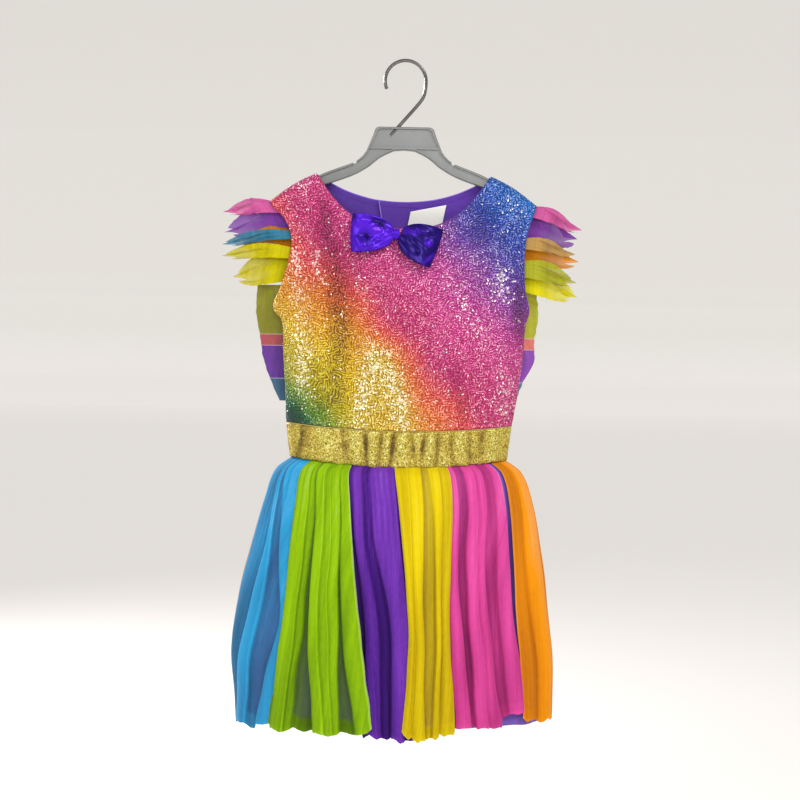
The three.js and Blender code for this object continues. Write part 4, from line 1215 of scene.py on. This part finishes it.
def loop_surface(side, length, tilt, root, end, deep, lit, seed):
    start = KNOT_WIDE / 2 - 0.8 + root * abs(math.sin(tilt))

    def surface(u, v):
        turn = lerp(BOW_PINCH, 2 * np.pi - BOW_PINCH, u)
        out = (np.cos(BOW_PINCH) - np.cos(turn)) / 2
        reach = start + length * out - 1.6 * v**2 * out
        tall = lerp(root, end, smoothstep(out**0.36, 0, 0.95))
        x = BOW_X + side * (reach * math.cos(tilt) - v * tall * math.sin(tilt))
        z = BOW_Z + reach * math.sin(tilt) + v * tall * math.cos(tilt)
        # Folds spread from the knot like spokes, strong beside it and soft at the loop's end.
        spokes = ripple(v * 1.5 + 0.5 * out, seed, 3) * (1 - 0.75 * smoothstep(out, 0.1, 0.9))
        swirl = ripple(v * 0.8 + 1.4 * out, seed + 1) * np.sin(np.pi * out)
        folds = creases(x, z, BOW_FOLDS)
        uneven = 0.6 * spokes + 0.9 * swirl + 1.2 * folds
        thick = deep * (1 + np.sin(turn) * (0.5 + out / 2)) + uneven * np.sin(turn)
        # Painted light: each loop's own share, lighter on the folds' ridges, with swirls, and along
        # the strokes of painted light.
        tone = lit + 0.16 * folds + 0.12 * swirl + creases(x, z, BOW_PAINTED_LIGHT)
        return x, bow_back(x, z) - thick, z, np.clip(tone, 0, 1.4)

    return surface


for name, shape in BOW_LOOPS.items():
    columns, rows = GRIDS["loop"]
    grid = grid_of(loop_surface(*shape, 50 + shape[0]), fine(columns, 0, 1), fine(rows))
    points, tone = grid[:, :, :3], grid[:, :, 3]
    stand_in(f"bow_{name}", "satin", "bow_satin", points, bow_satin, SATIN, layers=tone)


def knot_surface(u, v):
    angle = u * 2 * np.pi
    swell = 1 - 0.12 * (2 * v - 1) ** 2
    pleat = 0.35 * np.cos(2 * np.pi * 3 * v + np.sin(angle)) * smoothstep(np.cos(angle), -0.2, 0.6)
    y = bow_back(BOW_X, BOW_Z) - KNOT_DEEP * (1 + swell * np.cos(angle)) - pleat
    return BOW_X + (v - 0.5) * KNOT_WIDE, y, BOW_Z + KNOT_TALL * swell * np.sin(angle)


columns, rows = GRIDS["knot"]
grid = grid_of(knot_surface, np.arange(columns) / columns, fine(rows, 0, 1))
stand_in("bow_knot", "satin", "bow_satin", grid, bow_satin, SATIN, ring=True)

# ---- Label ----------------------------------------------------------------------------------

LABEL_X, LABEL_Z, LABEL_WIDE, LABEL_TALL, LABEL_TILT, LABEL_STAND = 27, -178, 42, 23, -0.2, 1.9


def label_surface(u, v):
    wide, tall = u * LABEL_WIDE, v * LABEL_TALL
    x = LABEL_X + wide * math.cos(LABEL_TILT) - tall * math.sin(LABEL_TILT)
    z = LABEL_Z - wide * math.sin(LABEL_TILT) + tall * math.cos(LABEL_TILT)
    curl = 0.5 * np.sin(3 * u + 1) * (0.5 - v)
    return x, cloth_depth(x, z) - LABEL_STAND - curl - 0.3 * (0.5 - v), z


grid = grid_of(label_surface, *(fine(count, -0.5, 0.5) for count in GRIDS["label"]))
stand_in("neck_label", "cloth", "label_cloth", grid, label_cloth, 0.5)

# ---- Edges and stitching --------------------------------------------------------------------


def path_on(surface, u, v, out=0.0):
    """A path along a surface, where u or v is one number for the whole path, moved out in y."""
    return np.stack(np.broadcast_arrays(*surface(*np.broadcast_arrays(u, v))[:3]), -1) + [0, out, 0]


NECK_HALF = NECK_POINT[2] - 0.01
neck_u = np.linspace(-NECK_HALF + 0.01, NECK_HALF - 0.01, 140)
neck = path_on(front_surface, neck_u, 0.9985)
edging("neck_edge_front", neck, 0.75, base_cloth)
for word, side in SIDES.items():
    arm = path_on(front_surface, side * 0.999, np.linspace(0.48, 0.985, 90))
    edging(f"arm_edge_{word}", arm, 0.6, base_cloth)

neck = path_on(upper_back, np.linspace(-NECK_HALF, LAP_EDGE, 90), 0.999)
edging("neck_edge_back_left", neck, 0.7, purple_edge_highlight)
neck = path_on(back_surface, np.linspace(LAP_UNDER, NECK_HALF, 90), 0.999)
edging("neck_edge_back_right", neck, 0.7, purple_edge_highlight)
lap = path_on(back_surface, LAP_UNDER, np.linspace(0.01, 0.998, 90), -0.4)
edging("lap_edge", lap, 0.8, purple_edge_highlight)

waist_u = np.sin(np.linspace(-np.pi / 2, np.pi / 2, 180)) * 0.985
for name, facing in FACINGS.items():
    seam = path_on(BANDS[name], waist_u, 1.0, facing * 0.9) + [0, 0, 0.2]
    edging(f"waist_seam_{name}", seam, 0.42, gold_thread)

# Stitches round the neck, inside and out, down the lap's edge and round the armholes.
STITCH_OUT = 0.75
lap_u = np.linspace(-NECK_HALF, LAP_EDGE - 0.004, 90)
under_u = np.linspace(LAP_EDGE + 0.01, NECK_HALF, 90)
hem_rows = []
for inset in (0.972, 0.99):
    for out in (-STITCH_OUT, STITCH_OUT):
        hem_rows.append(path_on(upper_back, lap_u, inset, out))
        hem_rows.append(path_on(back_surface, under_u, inset, out))
hem_rows.append(path_on(upper_back, LAP_EDGE - 0.014, np.linspace(0.01, 0.97, 120), STITCH_OUT))
for side, surface in ((-1, upper_back), (1, back_surface)):
    hem_rows.append(path_on(surface, side * 0.965, np.linspace(0.47, 0.985, 70), STITCH_OUT))
stitches("back_hem_stitches", hem_rows, purple_thread)

# ---- The cloth as cut -----------------------------------------------------------------------

SQUARE_CM = 1e-4
FRONT_EDGES = ["bodice_sequins", "neck_edge_front", "arm_edge_left", "arm_edge_right"]
LEFT_EDGES = ["neck_edge_back_left", "back_hem_stitches"]
RIGHT_EDGES = ["neck_edge_back_right", "lap_edge"]
TOP, FRONT = "hanger_body", "bodice_front_cloth"
LEFT, RIGHT = "bodice_back_left_cloth", "bodice_back_right_cloth"
BAND_CLOTHS = ["waistband_front_cloth", "waistband_back_cloth"]
LOOPS = ["bow_left_satin", "bow_right_satin"]
# Each piece's width and length in mm and area in square cm, how it is held, what it hangs on
# or lies against, and what is sewn to it.
CUTS = [
    (FRONT, 322, 301, 746, "hung", [TOP], FRONT_EDGES),
    (LEFT, 174, 301, 402, "hung", [TOP], LEFT_EDGES),
    (RIGHT, 200, 297, 476, "hung", [TOP], RIGHT_EDGES),
    (BAND_CLOTHS[0], 272, 42, None, "stretched", [FRONT], ["waist_seam_front"]),
    (BAND_CLOTHS[1], 272, 42, None, "stretched", [LEFT], ["waist_seam_back"]),
    ("skirt_lining_cloth", 809, 311, 2217, "hung", BAND_CLOTHS, []),
    (LOOPS[0], 109, 44, 40, "folded", [FRONT], []),
    (LOOPS[1], 104, 47, 40, "folded", [FRONT], []),
    ("bow_knot_satin", 34, 10, 3.1, "folded", LOOPS, []),
    ("neck_label_cloth", 42, 24, 9.4, "hung", [RIGHT], []),
]
# Panels, petals and drapes: each one's width, length and area.
SHEER_CUTS = {
    "skirt_front": {
        "blue": (132, 322, 325), "green": (157, 314, 319), "purple": (107, 313, 279),
        "yellow": (91, 312, 209), "pink": (137, 302, 303), "orange": (104, 309, 234),
    },
    "skirt_back": {
        "blue": (85, 311, 198), "green": (102, 312, 249), "purple": (121, 309, 306),
        "yellow": (111, 309, 277), "pink": (122, 310, 284), "orange": (82, 317, 191),
    },
    "petal_left": {
        "pink": (26, 70, 12.3), "purple": (46, 79, 22.2), "blue": (20, 86, 11.7),
        "orange": (40, 70, 16.9), "lime": (24, 84, 13.2), "yellow": (48, 77, 21.1),
    },
    "petal_right": {
        "pink": (26, 64, 12.4), "purple": (50, 66, 21.1), "blue": (24, 66, 10.7),
        "orange": (42, 68, 18.5), "lime": (32, 68, 14.5), "yellow": (42, 72, 19.4),
    },
    "drape_left": {
        "lime": (73, 57, 40.5), "coral": (66, 13, 8.1),
        "purple": (62, 40, 20.7), "teal": (46, 28, 9.6),
    },
    "drape_right": {
        "lime": (64, 58, 35.3), "coral": (58, 13, 7.3),
        "purple": (57, 41, 18.8), "teal": (38, 27, 7.9),
    },
}
for group, cuts in SHEER_CUTS.items():
    kind, place = group.split("_")
    back = f"bodice_back_{place}_cloth"
    held, under = {
        "skirt": ("gathered", [f"waistband_{place}_cloth", "skirt_lining_cloth"]),
        "petal": ("gathered", [FRONT, back]),
        "drape": ("hung", [back]),
    }[kind]
    CUTS += [(f"{group}_{name}_sheer", *sizes, held, under, []) for name, sizes in cuts.items()]
for name, width, length, area, held, under, sewn_on in CUTS:
    area = area and area * SQUARE_CM

# ---- Stage, light and camera ----------------------------------------------------------------


def stage():
    """A wide pale floor that runs up into a backdrop far behind, in metres."""
    flat = [(-60, FLOOR), (3, FLOOR), (40, FLOOR)]
    profile = [*flat, (52, -0.8), (60, 0.4), (66, 4), (68, 12), (69, 40)]
    steps = np.linspace(0, len(profile) - 1, 64)
    ys, zs = (np.interp(steps, range(len(profile)), [p[k] for p in profile]) for k in (0, 1))
    points = [(x, y, z) for x in (-60, 60) for y, z in zip(ys, zs)]
    mesh = bpy.data.meshes.new("floor")
    mesh.from_pydata(points, [], [(k, k + 1, 65 + k, 64 + k) for k in range(63)])
    paint = Paint("floor_paint", {"Roughness": 0.9})
    place = paint.tree.nodes.new("ShaderNodeTexCoord").outputs["Object"]
    height = paint.node("SeparateXYZ", {0: place}, out=2)
    low, high = (0.78, 0.755, 0.735, 1), (0.68, 0.665, 0.64, 1)
    paint.put("Base Color", paint.mix(paint.remap(height, FLOOR, 2.5, 0.0, 1.0), low, high))
    paint.put("Emission Color", (1, 0.975, 0.95, 1))
    paint.put("Emission Strength", 0.12)
    mesh.materials.append(paint.material)
    mesh.polygons.foreach_set("use_smooth", np.full(len(mesh.polygons), True))
    added("floor", mesh)


def area_light(name, place, target, size, power, tint=(1, 1, 1)):
    data = bpy.data.lights.new(name, "AREA")
    data.shape, data.size, data.energy, data.color = "DISK", size, power, tint
    light = added(name, data)
    light.location = place
    light.rotation_euler = (Vector(target) - Vector(place)).to_track_quat("-Z", "Y").to_euler()


# The floor's height in metres, well below the hem.
FLOOR = -0.95
stage()
sun = added("sun", bpy.data.lights.new("sun", "SUN"))
sun.data.energy, sun.data.angle, sun.data.color = 1.5, math.radians(24), (1, 0.985, 0.96)
sun.rotation_euler = (math.radians(52), 0, math.radians(38))
area_light("fill", (-1.3, -1.7, 0.3), (0, 0, -0.45), 0.9, 9, (0.96, 0.98, 1))
area_light("glint", (0.15, -1.9, 0.25), (0, 0, -0.35), 0.35, 7)
area_light("back", (-1.5, 1.1, 0.5), (0, 0, -0.4), 0.6, 42)
world = bpy.data.worlds.new("studio")
world.use_nodes = True
sky = world.node_tree.nodes["Background"].inputs
sky["Color"].default_value, sky["Strength"].default_value = (1, 0.985, 0.965, 1), 0.5
bpy.context.scene.world = world
bpy.context.scene.view_settings.view_transform = "Standard"

# The photo's frame is 0.92 m wide at the dress, seen from 1.8 m, with the camera tilted a little.
VIEW_WIDE, VIEW_AWAY, VIEW_TILT = 0.92, 1.8, -1.1
camera = added("camera", bpy.data.cameras.new("camera"))
camera.data.sensor_width = 36
camera.data.lens = camera.data.sensor_width * VIEW_AWAY / VIEW_WIDE
camera.data.clip_end = 100
camera.location = (0.0006, -VIEW_AWAY, -0.3885)
camera.rotation_euler = (math.radians(90), math.radians(VIEW_TILT), 0)
bpy.context.scene.camera = camera
